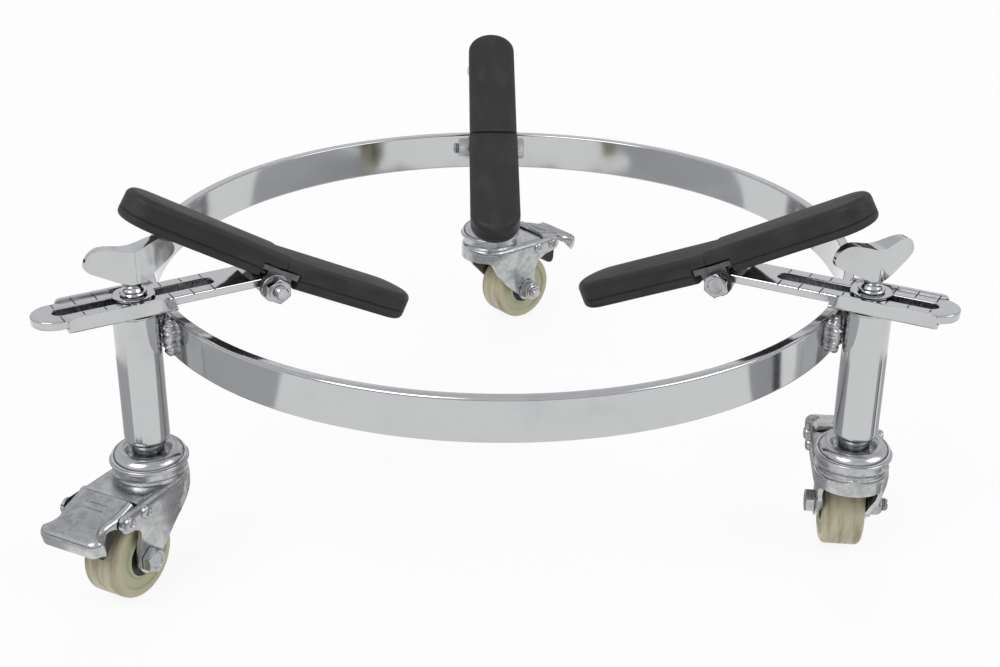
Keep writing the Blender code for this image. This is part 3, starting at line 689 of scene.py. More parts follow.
@dataclass(frozen=True)
class Nylon:
    """Ivory nylon: a greener side round the hub, scuffs and dirt on the tread."""

    name: str
    tread_radius: float = 25.0
    ivory: Colour = (0.50, 0.46, 0.32, 1.0)
    greenish: Colour = (0.44, 0.46, 0.30, 1.0)
    dirt: Colour = (0.15, 0.10, 0.055, 1.0)

    def material(self) -> bpy.types.Material:
        """Makes the finish's nodes.

        Returns:
            The material.
        """
        g = Graph(self.name)
        local = g.local()
        x = g.part(local, "X")
        z = g.part(local, "Z")
        radius = (x * x + z * z) ** 0.5
        side = g.between(radius, 14.0, 22.0, 1.0, 0.0)
        tread = g.between(radius, self.tread_radius - 2.2, self.tread_radius - 0.3)
        scuff = g.between(g.noise(0.14, 3.0, vector=local, stretch=(0.35, 2.0, 0.35),
                                  roughness=0.5), 0.40, 0.78)
        cloud = g.noise(0.12, 3.0, vector=local)
        colour = g.mix(side * 0.55 + cloud * 0.2, self.ivory, self.greenish)
        colour = g.mix(tread * scuff * 0.5 + scuff * 0.06, colour, self.dirt)
        rough = 0.33 + scuff * tread * 0.30 + cloud * 0.08
        normal = g.bump(g.noise(1.6, 4.0, vector=local), 0.05, 0.0004)
        normal = g.bump(scuff * tread, 0.15, 0.0006, normal)
        g.shader.inputs["Subsurface Weight"].default_value = 0.12
        g.shader.inputs["Subsurface Radius"].default_value = (0.004, 0.0032, 0.0018)
        g.shader.inputs["Subsurface Scale"].default_value = 0.5
        return g.finish(Base_Color=colour, Roughness=rough, Metallic=0.0, Normal=normal)


@dataclass(frozen=True)
class Plastic:
    """Black moulded plastic with a fine grain and pale dust."""

    name: str
    dark: Colour = (0.020, 0.020, 0.021, 1.0)
    roughness: float = 0.42

    def material(self) -> bpy.types.Material:
        """Makes the finish's nodes.

        Returns:
            The material.
        """
        g = Graph(self.name)
        dust = g.between(g.noise(500.0, 5.0), 0.56, 0.74)
        colour = g.mix(dust * 0.4, self.dark, (0.12, 0.12, 0.11, 1.0))
        normal = g.bump(g.noise(1500.0, 3.0), 0.18, 0.0003)
        return g.finish(Base_Color=colour, Roughness=self.roughness + dust * 0.2,
                        Metallic=0.0, Normal=normal)


class Finishes:
    """The stand's materials, made once each."""

    def __init__(self) -> None:
        """Makes every material."""
        self.hoop = Chrome("hoop chrome", waves=0.13, wave_scale=22.0).material()
        self.weld = Chrome("weld chrome", bright=(0.50, 0.50, 0.51, 1.0),
                           hazy=(0.26, 0.25, 0.245, 1.0), roughness=0.17, lumps=0.55).material()
        self.tube = Chrome("tube chrome", waves=0.08, wave_scale=34.0).material()
        self.bar = Chrome("bar chrome", waves=0.10, wave_scale=60.0, roughness=0.09,
                          slotted=True).material()
        self.cast = Chrome("cast chrome", waves=0.45, wave_scale=44.0, roughness=0.09).material()
        self.hardware = Zinc("zinc hardware", pale=(0.46, 0.465, 0.475, 1.0),
                             roughness=0.15).material()
        self.cup = Chrome("cup steel", bright=(0.50, 0.505, 0.51, 1.0),
                          hazy=(0.36, 0.36, 0.365, 1.0), roughness=0.18, waves=0.05).material()
        # The arm steel is made far darker than the other zinc: painted shade for the shadow that
        # the arm's bracket lies in.
        self.arm = Zinc("arm steel with painted shade", pale=(0.15, 0.15, 0.155, 1.0),
                        dull=(0.06, 0.06, 0.06, 1.0), roughness=0.24, edges=0.0).material()
        self.caster = Zinc("caster steel", pale=(0.54, 0.545, 0.55, 1.0),
                           roughness=0.19).material()
        self.sleeve = Rubber("sleeve rubber").material()
        self.wheel = Nylon("wheel nylon").material()
        self.seal = Plastic("bearing seal").material()
        self.shoe = Plastic("shoe plastic", roughness=0.55).material()


@dataclass(frozen=True)
class Levels:
    """Heights and distances that several sub-assemblies share, in millimetres."""

    hoop_axis: Point3 = (4.755, -38.933, -0.137)
    ring_outer: float = 215.2
    ring_thickness: float = 6.35
    ring_height: float = 25.4
    channel_bottom: float = 165.5
    channel_above_ring: float = 5.2
    sheet: float = 2.3
    slide_thickness: float = 5.0
    slide_width: float = 25.4
    washer_thickness: float = 1.6
    tube_radius: float = 12.7
    tube_from_axis: float = 232.5
    tube_bottom: float = 84.7
    pivot_from_axis: float = 153.5
    pivot_below_bar: float = 2.9
    knuckle_width: float = 26.0
    ear_sheet: float = 2.5
    wheel_radius: float = 25.0
    wheel_width: float = 24.0
    trail: float = 25.5
    slot_inner: float = 183.2
    slot_outer: float = 273.8
    slot_width: float = 8.6
    first_tick: float = 4.0
    tick_step: float = 12.0
    tick_margin: float = 1.4
    pin_x: float = 45.6
    pin_z: float = 60.4
    pedal_slope: float = 15.0

    @property
    def ring_top(self) -> float:
        """Top of the hoop."""
        return self.channel_bottom - self.channel_above_ring

    @property
    def slide_bottom(self) -> float:
        """Underside of the slide bars."""
        return self.channel_bottom + self.sheet + GAP

    @property
    def slide_top(self) -> float:
        """Top of the slide bars."""
        return self.slide_bottom + self.slide_thickness

    @property
    def nut_bottom(self) -> float:
        """Underside of the wing nuts."""
        return self.slide_top + self.washer_thickness + 2 * GAP

    @property
    def pivot_z(self) -> float:
        """Height of the pivots."""
        return self.slide_bottom + self.slide_thickness / 2 - self.pivot_below_bar

    @property
    def grip(self) -> float:
        """Length between the arm ears' outer faces."""
        return self.knuckle_width + 2 * GAP + 2 * self.ear_sheet


LEVELS = Levels()


@dataclass(frozen=True)
class Leg:
    """How one leg stands: its direction and the settings of its moving pieces, in degrees."""

    name: str
    azimuth: float
    tilt: float
    slide_out: float
    wing_azimuth: float
    caster_azimuth: float

    def axes(self) -> Matrix:
        """The leg's frame: X away from the hoop's axis."""
        return shift(*LEVELS.hoop_axis) @ turn("Z", self.azimuth)

    def stud(self) -> Matrix:
        """The upright's axis."""
        return self.axes() @ shift(LEVELS.tube_from_axis)

    def wing(self) -> Matrix:
        """The underside of the wing nut."""
        about = turn("Z", self.wing_azimuth - self.azimuth)
        return self.stud() @ shift(z=LEVELS.nut_bottom) @ about

    def slide(self) -> Matrix:
        """The slide bar's frame."""
        return self.axes() @ shift(self.slide_out)

    def pivot(self) -> Matrix:
        """The pivot bolt's axis, level."""
        return self.slide() @ shift(LEVELS.pivot_from_axis, 0, LEVELS.pivot_z)

    def bolt(self) -> Matrix:
        """The pivot bolt's own frame, its head at +Y."""
        return self.pivot() @ turn("Z", 180)

    def arm(self) -> Matrix:
        """The tilted arm's frame."""
        return self.pivot() @ turn("Y", -self.tilt)

    def swivel(self) -> Matrix:
        """The caster's fork, X along its trail."""
        return self.stud() @ turn("Z", self.caster_azimuth - self.azimuth)

    def axle(self) -> Matrix:
        """The wheel's axle along Y."""
        return self.swivel() @ shift(LEVELS.trail, 0, LEVELS.wheel_radius)

    def pedal(self) -> Matrix:
        """The brake pedal's pin."""
        return self.swivel() @ shift(LEVELS.pin_x, 0, LEVELS.pin_z) @ turn("Y", LEVELS.pedal_slope)


LEGS = (Leg("front_left", 210.0, 31.9, 3.5, 33.0, 241.0),
        Leg("front_right", 330.0, 28.8, -4.0, 22.0, 82.5),
        Leg("back", 90.0, 29.3, 0.0, 125.0, 37.0))


@dataclass
class LegPiece:
    """A piece that every leg has, named without the leg's name."""

    name: str
    node: str
    shape: Shape
    where: Callable[[Leg], Matrix]
    material: bpy.types.Material
    body: str
    slot: str
    angle: float = 32.0
    own: Matrix | None = None


class Workshop:
    """Turns shapes into finished pieces of the stand."""

    def __init__(self) -> None:
        """Starts with no pieces."""
        self.count = 0

    def piece(self, name: str, shape: Shape, where: Matrix, material: bpy.types.Material,
              body: str, slot: str, *nodes: str, angle: float = 32.0,
              own: Matrix | None = None) -> bpy.types.Object:
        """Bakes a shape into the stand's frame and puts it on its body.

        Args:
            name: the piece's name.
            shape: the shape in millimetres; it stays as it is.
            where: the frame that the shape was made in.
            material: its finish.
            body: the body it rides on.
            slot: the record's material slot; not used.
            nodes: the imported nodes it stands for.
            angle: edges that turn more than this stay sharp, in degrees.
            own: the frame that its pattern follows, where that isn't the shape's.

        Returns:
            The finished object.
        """
        mesh = shape.mesh.copy()
        mesh.name = name
        local = mesh.attributes.new("local", "FLOAT_VECTOR", "POINT")
        back = own.inverted() if own else Matrix()
        for item, vert in zip(local.data, mesh.vertices):
            item.vector = back @ vert.co
        mesh.transform(Matrix.Scale(0.001, 4) @ where)
        mesh.materials.clear()
        mesh.materials.append(material)
        mesh.shade_smooth()
        mesh.set_sharp_from_angle(angle=math.radians(angle))
        thing = linked(name, mesh)
        weighted = thing.modifiers.new("flat faces", "WEIGHTED_NORMAL")
        weighted.keep_sharp = True
        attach(thing, body)
        if nodes:
            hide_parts(*nodes)
        self.count += 1
        log.info("%s: %d faces, rides on %s", name, len(mesh.polygons), body)
        return thing

    def on_legs(self, *rows: LegPiece) -> None:
        """Makes the same pieces on every leg.

        Args:
            rows: the pieces of one leg.
        """
        for leg in LEGS:
            for row in rows:
                body = row.body if row.body == "frame" else f"{leg.name}_{row.body}"
                nodes = [f"{leg.name}_{row.node}"] if row.node else []
                self.piece(f"{leg.name}_{row.name}", row.shape, row.where(leg), row.material,
                           body, row.slot, *nodes, angle=row.angle, own=row.own)


def thread(radius: float, low: float, high: float, pitch: float = 1.25,
           depth: float = 0.55) -> list[Point2]:
    """The outer side of a threaded bar as a turned profile, from high down to low.

    Args:
        radius: the thread's outer radius.
        low: where it ends.
        high: where it begins.
        pitch: height of one turn, about.
        depth: how deep it is.

    Returns:
        The profile's points.
    """
    count = max(int((high - low) / pitch), 1)
    step = (high - low) / count
    points = []
    for i in range(count):
        top = high - i * step
        points += [(radius - depth, top), (radius, top - 0.42 * step), (radius, top - 0.58 * step)]
    points.append((radius - depth, low))
    return points


def hexagon(width: float, low: float, high: float, washer_side: int = 0) -> Shape:
    """A hexagonal head along Y with its corners turned off.

    Args:
        width: distance across the flats.
        low: where it begins along Y.
        high: where it ends.
        washer_side: -1 or 1 for the end that lies on a washer and keeps a small collar.

    Returns:
        The head.
    """
    corner = width / math.sqrt(3)
    bm = bmesh.new()
    bmesh.ops.create_cone(bm, cap_ends=True, segments=6, radius1=corner, radius2=corner,
                          depth=high - low)
    bmesh.ops.translate(bm, vec=(0, 0, (low + high) / 2), verts=bm.verts)
    bar = Shape.from_bmesh(bm).moved(turn("X", -90))
    trim = width * 0.47
    drop = (corner - trim) * 0.55
    low_trim = 0.0 if washer_side < 0 else drop
    high_trim = 0.0 if washer_side > 0 else drop
    low_radius = corner + 0.01 if washer_side < 0 else trim
    high_radius = corner + 0.01 if washer_side > 0 else trim
    cone = Shape.turned([(0, high), (high_radius, high), (corner + 0.01, high - high_trim),
                         (corner + 0.01, low + low_trim), (low_radius, low), (0, low)],
                        60, axis="Y")
    return bar.common(cone).softened(0.12, 1)


@dataclass
class Bolting:
    """The bolts and nuts that two places share: a pivot and an axle."""

    head_width: float = 13.0
    head: float = 5.3
    radius: float = 4.0
    nut: float = 7.9
    washer: float = 1.4
    tail: float = 3.6

    def bolt(self, grip: float) -> Shape:
        """A bolt along Y with a dished head at +Y and a threaded end.

        Args:
            grip: thickness of what it holds.

        Returns:
            The bolt.
        """
        seat = grip / 2 + GAP
        end = -(seat + self.nut + self.tail)
        head = hexagon(self.head_width, seat, seat + self.head, -1)
        dish = Shape.turned([(0, seat + self.head - 0.5), (4.1, seat + self.head - 0.5),
                             (4.7, seat + self.head + 0.2), (0, seat + self.head + 0.2)], 48,
                            axis="Y")
        profile = [(0, seat + 1), (self.radius, seat + 1), (self.radius, -seat + 1.0)]
        profile += thread(self.radius, end + 0.8, -seat + 0.8)
        profile += [(self.radius - 0.9, end), (0, end)]
        shank = Shape.turned(profile, 40, axis="Y")
        return head.cut(dish).joined(shank)

    def nut_and_washer(self, grip: float, lock: bool) -> Shape:
        """The nut on the -Y end with its washer.

        Args:
            grip: thickness of what the bolt holds.
            lock: whether it has the collar of a lock nut.

        Returns:
            The nut and the washer as one.
        """
        near = -(grip / 2 + GAP)
        far = near - self.nut
        bore = self.radius + 0.05
        hex_far = far + (1.6 if lock else 0.0)
        body = hexagon(self.head_width, hex_far, near - self.washer, 1)
        washer = Shape.turned([(bore, near), (7.9, near), (8.0, near - 0.2),
                               (8.0, near - self.washer + 0.2), (7.8, near - self.washer - 0.01),
                               (bore, near - self.washer - 0.01)], 56, closed=True, axis="Y")
        body = body.joined(washer)
        if lock:
            collar = Shape.turned([(3.0, hex_far + 0.6), (5.9, hex_far + 0.6), (5.8, far + 0.7),
                                   (5.0, far), (3.0, far)], 48, closed=True, axis="Y")
            body = body.joined(collar)
        return body.cut(Shape.rod(bore, far - 2, near + 2, axis="Y"))


@dataclass
class Hoop:
    """The rolled hoop with its weld beads."""

    outer_edge: float = 1.7
    inner_edge: float = 1.1
    steps: int = 240
    bead_radius: float = 3.9
    bead_spacing: float = 7.0

    def bar(self) -> Shape:
        """The flat bar, turned with rounded edges.

        Returns:
            The hoop round Z.
        """
        outer = LEVELS.ring_outer
        inner = outer - LEVELS.ring_thickness
        top = LEVELS.ring_top
        low = top - LEVELS.ring_height
        e, i = self.outer_edge, self.inner_edge
        profile = arc((outer - e, top - e), e, 90, 0, 5) + arc((outer - e, low + e), e, 0, -90, 5)
        profile += arc((inner + i, low + i), i, 270, 180, 4)
        profile += arc((inner + i, top - i), i, 180, 90, 4)
        return Shape.turned(profile, self.steps, closed=True)

    def bead(self, side: int) -> Shape:
        """One rippled weld bead between the hoop and an upright.

        Args:
            side: -1 or 1, the upright's side that it is on.

        Returns:
            The bead in the leg's frame.
        """
        low = LEVELS.ring_top - LEVELS.ring_height + 1.2
        high = LEVELS.ring_top - 1.2
        points = []
        count = 44
        for i in range(count + 1):
            share = i / count
            swell = math.sin(math.pi * share) ** 0.35
            ripple = 0.32 * math.sin(share * 38.0) + 0.22 * math.sin(share * 17.0 + side)
            points.append((max((self.bead_radius + ripple) * swell, 0.0),
                           high + (low - high) * share))
        points[0] = (0.0, high)
        points[-1] = (0.0, low)
        bead = Shape.turned(points, 28)

        def lumpy(co: Vector) -> Vector:
            """Pushes the bead about a little.

            Args:
                co: a point of it.

            Returns:
                The point's new place.
            """
            co.x += 0.35 * math.sin(co.z * 0.9 + side * 2.0) + 0.2 * math.sin(co.z * 2.3)
            co.y += side * 0.5 * math.sin(co.z * 0.55)
            return co

        bead.bent(lumpy)
        return bead.moved(shift(LEVELS.ring_outer + 1.6, side * self.bead_spacing))

    def build(self, shop: Workshop, finishes: Finishes) -> None:
        """Makes the hoop and the beads of all three legs.

        Args:
            shop: where pieces are finished.
            finishes: the materials.
        """
        shop.piece("hoop", self.bar(), shift(*LEVELS.hoop_axis), finishes.hoop, "frame",
                   "chrome_hoop", "hoop_ring")
        shop.on_legs(*(LegPiece(f"weld_bead_{word}", "", self.bead(side), Leg.axes, finishes.weld,
                                "frame", "chrome_hoop")
                       for side, word in ((-1, "right"), (1, "left"))))


@dataclass
class Upright:
    """The tube, the channel guide on it, and the washer of the clamp."""

    wall: float = 2.0
    end_round: float = 3.2
    end_rise: float = 4.6
    inner_end: float = 213.0
    outer_end: float = 273.0
    lip: float = 1.4
    washer_radius: float = 11.6

    def tube(self) -> Shape:
        """The upright tube with a rounded foot and a weld collar at its top.

        Returns:
            The tube round its own axis.
        """
        r = LEVELS.tube_radius
        top = LEVELS.channel_bottom - GAP
        low = LEVELS.tube_bottom
        profile = [(4.5, top), (r + 1.4, top), (r + 1.2, top - 0.7), (r + 0.5, top - 1.3),
                   (r, top - 2.2), (r, top - 30), (r, low + 30)]
        profile += [(r - self.end_round * (1 - x), low + self.end_rise * (1 + z))
                    for x, z in arc((0, 0), 1.0, 0, -90, 10)]
        profile += [(5.4, low), (5.4, low + 12), (r - self.wall, low + 13),
                    (r - self.wall, top - 7), (4.5, top - 7)]
        return Shape.turned(profile, 96, closed=True)

    def channel(self) -> Shape:
        """The bent U with quarter-round inner ends and cut outer corners.

        Returns:
            The guide in the leg's frame.
        """
        inside = LEVELS.slide_width / 2 + GAP
        outside = inside + LEVELS.sheet
        low = LEVELS.channel_bottom
        floor = low + LEVELS.sheet
        top = LEVELS.slide_top + self.lip
        bend = 2.6
        section = [(-outside, top), (-outside, low + bend)]
        section += arc((-outside + bend, low + bend), bend, 180, 270, 6)[1:]
        section += arc((outside - bend, low + bend), bend, 270, 360, 6)
        section += [(outside, top), (inside, top), (inside, floor + 0.5), (inside - 0.5, floor),
                    (-inside + 0.5, floor), (-inside, floor + 0.5), (-inside, top)]
        length = self.outer_end - self.inner_end
        body = Shape.slab(section, length).upright().moved(turn("Z", 90))
        body.moved(shift((self.inner_end + self.outer_end) / 2))
        height = top - low
        side = [(self.outer_end, low - 1), (self.outer_end, top - 4.5)]
        side += arc((self.outer_end - 4.5, top - 4.5), 4.5, 0, 90, 8)[1:]
        side += list(reversed(arc((self.inner_end + height, top - height), height, 180, 90, 16)))
        side += [(self.inner_end, low - 1)]
        envelope = Shape.slab(side, 60).upright()
        plan = [(self.outer_end - 3.0, -outside - 1), (self.outer_end, -outside + 2.6),
                (self.outer_end, outside - 2.6), (self.outer_end - 3.0, outside + 1),
                (self.inner_end - 1, outside + 1), (self.inner_end - 1, -outside - 1)]
        cap = Shape.slab(plan, 60).moved(shift(z=(low + top) / 2))
        hole = Shape.rod(4.4, low - 5, top + 5).moved(shift(LEVELS.tube_from_axis))
        return body.common(envelope, cap).cut(hole).softened(0.8, 4)

    def washer(self) -> Shape:
        """The flat washer, its edges rounded by plating.

        Returns:
            The washer round the upright's axis.
        """
        low = LEVELS.slide_top + GAP
        top = low + LEVELS.washer_thickness
        r = self.washer_radius
        return Shape.turned([(4.3, top), (r - 0.45, top), (r - 0.1, top - 0.25), (r, top - 0.6),
                             (r, low + 0.4), (r - 0.3, low), (4.3, low)], 80, closed=True)

    def build(self, shop: Workshop, finishes: Finishes) -> None:
        """Makes the pieces of all three legs.

        Args:
            shop: where pieces are finished.
            finishes: the materials.
        """
        shop.on_legs(
            LegPiece("tube", "upright_tube", self.tube(), Leg.stud, finishes.tube, "frame",
                     "chrome_tube"),
            LegPiece("guide", "channel_guide", self.channel(), Leg.axes, finishes.tube, "frame",
                     "chrome_tube"),
            LegPiece("washer", "clamp_washer", self.washer(), Leg.stud, finishes.cast, "frame",
                     "chrome_cast"))


@dataclass
class Slider:
    """The slotted bar with its scale, its knuckle and the pivot bolt."""

    tip: float = 285.5
    knuckle_radius: float = 7.0
    bore: float = 4.3
    tick_width: float = 0.5
    tick_depth: float = 0.55

    def bar(self) -> Shape:
        """The bar with its slot, stamped lines and knuckle.

        Returns:
            The bar in its own frame, X outward.
        """
        half = LEVELS.slide_width / 2
        outline = arc((self.tip - half, 0), half, -90, 90, 36)
        outline += [(LEVELS.pivot_from_axis, half), (LEVELS.pivot_from_axis, -half)]
        radius = LEVELS.slot_width / 2
        slot = arc((LEVELS.slot_outer - radius, 0), radius, -90, 90, 18)
        slot += arc((LEVELS.slot_inner + radius, 0), radius, 90, 270, 18)
        bar = Shape.slab(outline, LEVELS.slide_thickness, edge=0.9, rounds=3, holes=[slot])
        bar.moved(shift(z=LEVELS.slide_bottom + LEVELS.slide_thickness / 2))
        top = LEVELS.slide_top
        margin = radius + LEVELS.tick_margin
        place = LEVELS.slot_inner + LEVELS.first_tick
        while place < LEVELS.slot_outer - 2.0:
            for low, high in ((-half - 1, -margin), (margin, half + 1)):
                groove = [(place - self.tick_width, top + 0.05), (place, top - self.tick_depth),
                          (place + self.tick_width, top + 0.05)]
                tool = Shape.slab(groove, high - low).upright()
                bar = bar.cut(tool.moved(shift(y=(low + high) / 2)))
            place += LEVELS.tick_step
        w, r = LEVELS.knuckle_width / 2, self.knuckle_radius
        knuckle = Shape.turned([(self.bore, w), (r - 0.5, w), (r, w - 0.5), (r, -w + 0.5),
                                (r - 0.5, -w), (self.bore, -w)], 56, closed=True, axis="Y")
        pivot = shift(LEVELS.pivot_from_axis, 0, LEVELS.pivot_z)
        hole = Shape.rod(self.bore, -2 * w, 2 * w, axis="Y")
        return bar.cut(hole.moved(pivot)).joined(knuckle.moved(pivot))

    def build(self, shop: Workshop, finishes: Finishes) -> None:
        """Makes the pieces of all three legs.

        Args:
            shop: where pieces are finished.
            finishes: the materials.
        """
        bolting = Bolting()
        shop.on_legs(
            LegPiece("slotted_bar", "slide_bar", self.bar(), Leg.slide, finishes.bar, "slider",
                     "chrome_bar"),
            LegPiece("hinge_bolt", "pivot_bolt", bolting.bolt(LEVELS.grip), Leg.bolt,
                     finishes.hardware, "slider", "zinc_hardware"),
            LegPiece("hinge_nut", "pivot_nut", bolting.nut_and_washer(LEVELS.grip, lock=False),
                     Leg.bolt, finishes.hardware, "slider", "zinc_hardware"))


@dataclass
class WingNut:
    """The cast wing and the stud that it turns."""

    reach: float = 26.0
    top: float = 28.8
    dip: float = 3.0
    lobe: float = 9.8
    neck: float = 4.1
    apex: float = 7.0
    back: float = 5.5
    stud_low: float = 152.0

    def elevation(self) -> list[Point2]:
        """The wings from the side: round lobes on a neck, like a low heart.

        Returns:
            The outline.
        """
        lobe_x = self.reach - self.lobe
        lobe_z = self.top - self.lobe
        half = [(self.neck + 1.4, 4.6), (self.neck + 1.9, 6.2), (self.neck + 3.4, 7.8),
                (12.0, 10.7), (16.0, 12.7), (19.5, 14.4), (22.4, 15.9), (24.3, 17.2),
                (25.5, 18.8)]
        half += arc((lobe_x, lobe_z), self.lobe, 8, 95, 14)
        rise = self.top - self.dip
        for share in (0.82, 0.66, 0.5, 0.36, 0.24, 0.12):
            half.append((lobe_x * share, rise + self.dip * ease(share)))
        return half + [(0.0, rise)] + [(-x, z) for x, z in reversed(half)]

    def wing(self) -> Shape:
        """The casting: a wedge between two faces that meet at the middle.

        Returns:
            The wing over its own underside.
        """
        r = self.reach + 1
        crown = ((0.45, 0.55), (0.15, 0.87), (0.055, 0.97))
        near = [(-r, 0.6)] + [(-r * x, -self.apex * y) for x, y in crown]
        near += [(0, -self.apex)] + [(r * x, -self.apex * y) for x, y in reversed(crown)]
        near += [(r, 0.6)]
        far = [(r, 2.6), (r * 0.4, self.back * 0.8), (0, self.back), (-r * 0.4, self.back * 0.8),
               (-r, 2.6)]
        tall = Shape.slab(self.elevation(), 40).upright()
        plan = Shape.slab(near + far, 60).moved(shift(z=20))
        under = Shape.turned([(0, 4.5), (5.2, 4.5), (5.6, 5.8), (6.8, 7.2), (9, 8.7),
                              (12, 10.2), (16, 12.0), (20, 13.6), (34, 18.0), (34, 44), (0, 44)],
                             64)
        body = tall.common(plan, under).softened(1.2, 4, 35.0)
        n = self.neck
        collar = Shape.turned([(0, 12.0), (3.8, 10.4), (4.7, 8.4), (n + 0.8, 6.4),
                               (n + 0.7, 4.4), (n + 0.9, 3.4), (5.6, 2.7), (5.9, 2.1),
                               (5.6, 1.7), (7.2, 1.5), (7.6, 0.9), (7.2, 0.0), (0, 0.0)], 64)
        return body.joined(collar)

    def stud(self) -> Shape:
        """The threaded stud through the guide and the slot.

        Returns:
            The stud round the upright's axis.
        """
        low = self.stud_low
        high = LEVELS.nut_bottom + 2.0
        profile = [(0, high), (3.5, high)] + thread(4.0, low + 0.6, high - 0.1)
        return Shape.turned(profile + [(3.2, low), (0, low)], 40)

    def build(self, shop: Workshop, finishes: Finishes) -> None:
        """Makes the pieces of all three legs.

        Args:
            shop: where pieces are finished.
            finishes: the materials.
        """
        shop.on_legs(
            LegPiece("cast_wing", "wing_nut", self.wing(), Leg.wing, finishes.cast, "wing",
                     "chrome_cast", 40.0),
            LegPiece("threaded_stud", "clamp_stud", self.stud(), Leg.stud, finishes.hardware,
                     "wing", "zinc_hardware"))


@dataclass
class Arm:
    """The two rubber sleeves over the bent steel of an arm."""

    bend: float = 4.3
    split: float = -2.0
    saddle: float = 12.0
    outer: Sequence[float] = (96.0, 32.6, 17.1, 2.4)
    inner: Sequence[float] = (94.0, 33.4, 16.8, 1.6)
    edge: float = 3.6
    crown: float = 0.55
    bend_height: float = 12.25
    cutout_top: float = 11.9

    def sleeve(self, length: float, width: float, thickness: float, bottom: float) -> Shape:
        """A sleeve along X: rounded tip, rounded edges and a slightly crowned top.

        Args:
            length: from the pivot to the tip.
            width: across the arm.
            thickness: its height.
            bottom: height of its underside above the pivot.

        Returns:
            The sleeve, longer than needed past the pivot.
        """
        half = width / 2
        outline = arc((length - half, 0), half, -90, 90, 40)
        outline += [(-self.saddle, half), (-self.saddle, -half)]
        body = Shape.slab(outline, thickness, edge=self.edge, rounds=6)
        body = body.sliced(1, [-12, -9, -6, -3, 0, 3, 6, 9, 12]).sliced(
            0, [length - 8, length - 12, length - 18, length - 30, length - 50])

        def crowned(co: Vector) -> Vector:
            """Lowers the top towards the sides and the tip.

            Args:
                co: a point of the sleeve.

            Returns:
                The point's new place.
            """
            if co.z > 0:
                co.z -= self.crown * (co.y / half) ** 2
                co.z -= 0.9 * max(0.0, (co.x - (length - 18)) / 18) ** 2
            return co

        return body.bent(crowned).moved(shift(z=bottom + thickness / 2))

    def swing(self) -> Matrix:
        """The inner sleeve's frame, turned back from the bend."""
        middle = self.bend_height
        return shift(z=middle) @ turn("Y", self.bend) @ shift(z=-middle) @ turn("Z", 180)

    def sleeves(self) -> tuple[Shape, Shape]:
        """The outer and the inner sleeve, each cut at the seam and round the saddle.

        Returns:
            The outer and the inner sleeve.
        """
        reach = self.saddle + 0.6
        pocket = Shape.block((-reach, -50, -50), (reach, 50, self.cutout_top))
        outer = self.sleeve(*self.outer).cut(
            Shape.block((-60, -50, -50), (self.split + GAP / 2, 50, 50)), pocket)
        inner = self.sleeve(*self.inner).moved(self.swing()).cut(
            Shape.block((self.split - GAP / 2, -50, -50), (60, 50, 50)), pocket)
        return outer.softened(0.55, 3, 40.0), inner.softened(0.55, 3, 40.0)

    def build(self, shop: Workshop, finishes: Finishes) -> None:
        """Makes the sleeves of all three legs and gives the steel of each arm its dark finish,
        which is painted shade.

        Args:
            shop: where pieces are finished.
            finishes: the materials.
        """
        outer, inner = self.sleeves()
        shop.on_legs(
            LegPiece("upper_sleeve", "outer_sleeve", outer, Leg.arm, finishes.sleeve, "arm",
                     "sleeve_rubber", 50.0),
            LegPiece("lower_sleeve", "inner_sleeve", inner, Leg.arm, finishes.sleeve, "arm",
                     "sleeve_rubber", 50.0, self.swing()))
        for leg in LEGS:
            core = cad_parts[f"{leg.name}_arm_core"]
            for material_slot in core.material_slots:
                # The arm's dark finish is painted shade.
                material_slot.material = finishes.arm
            log.info("%s_arm_core keeps its packed shape, %d finish slots", leg.name,
                     len(core.material_slots))


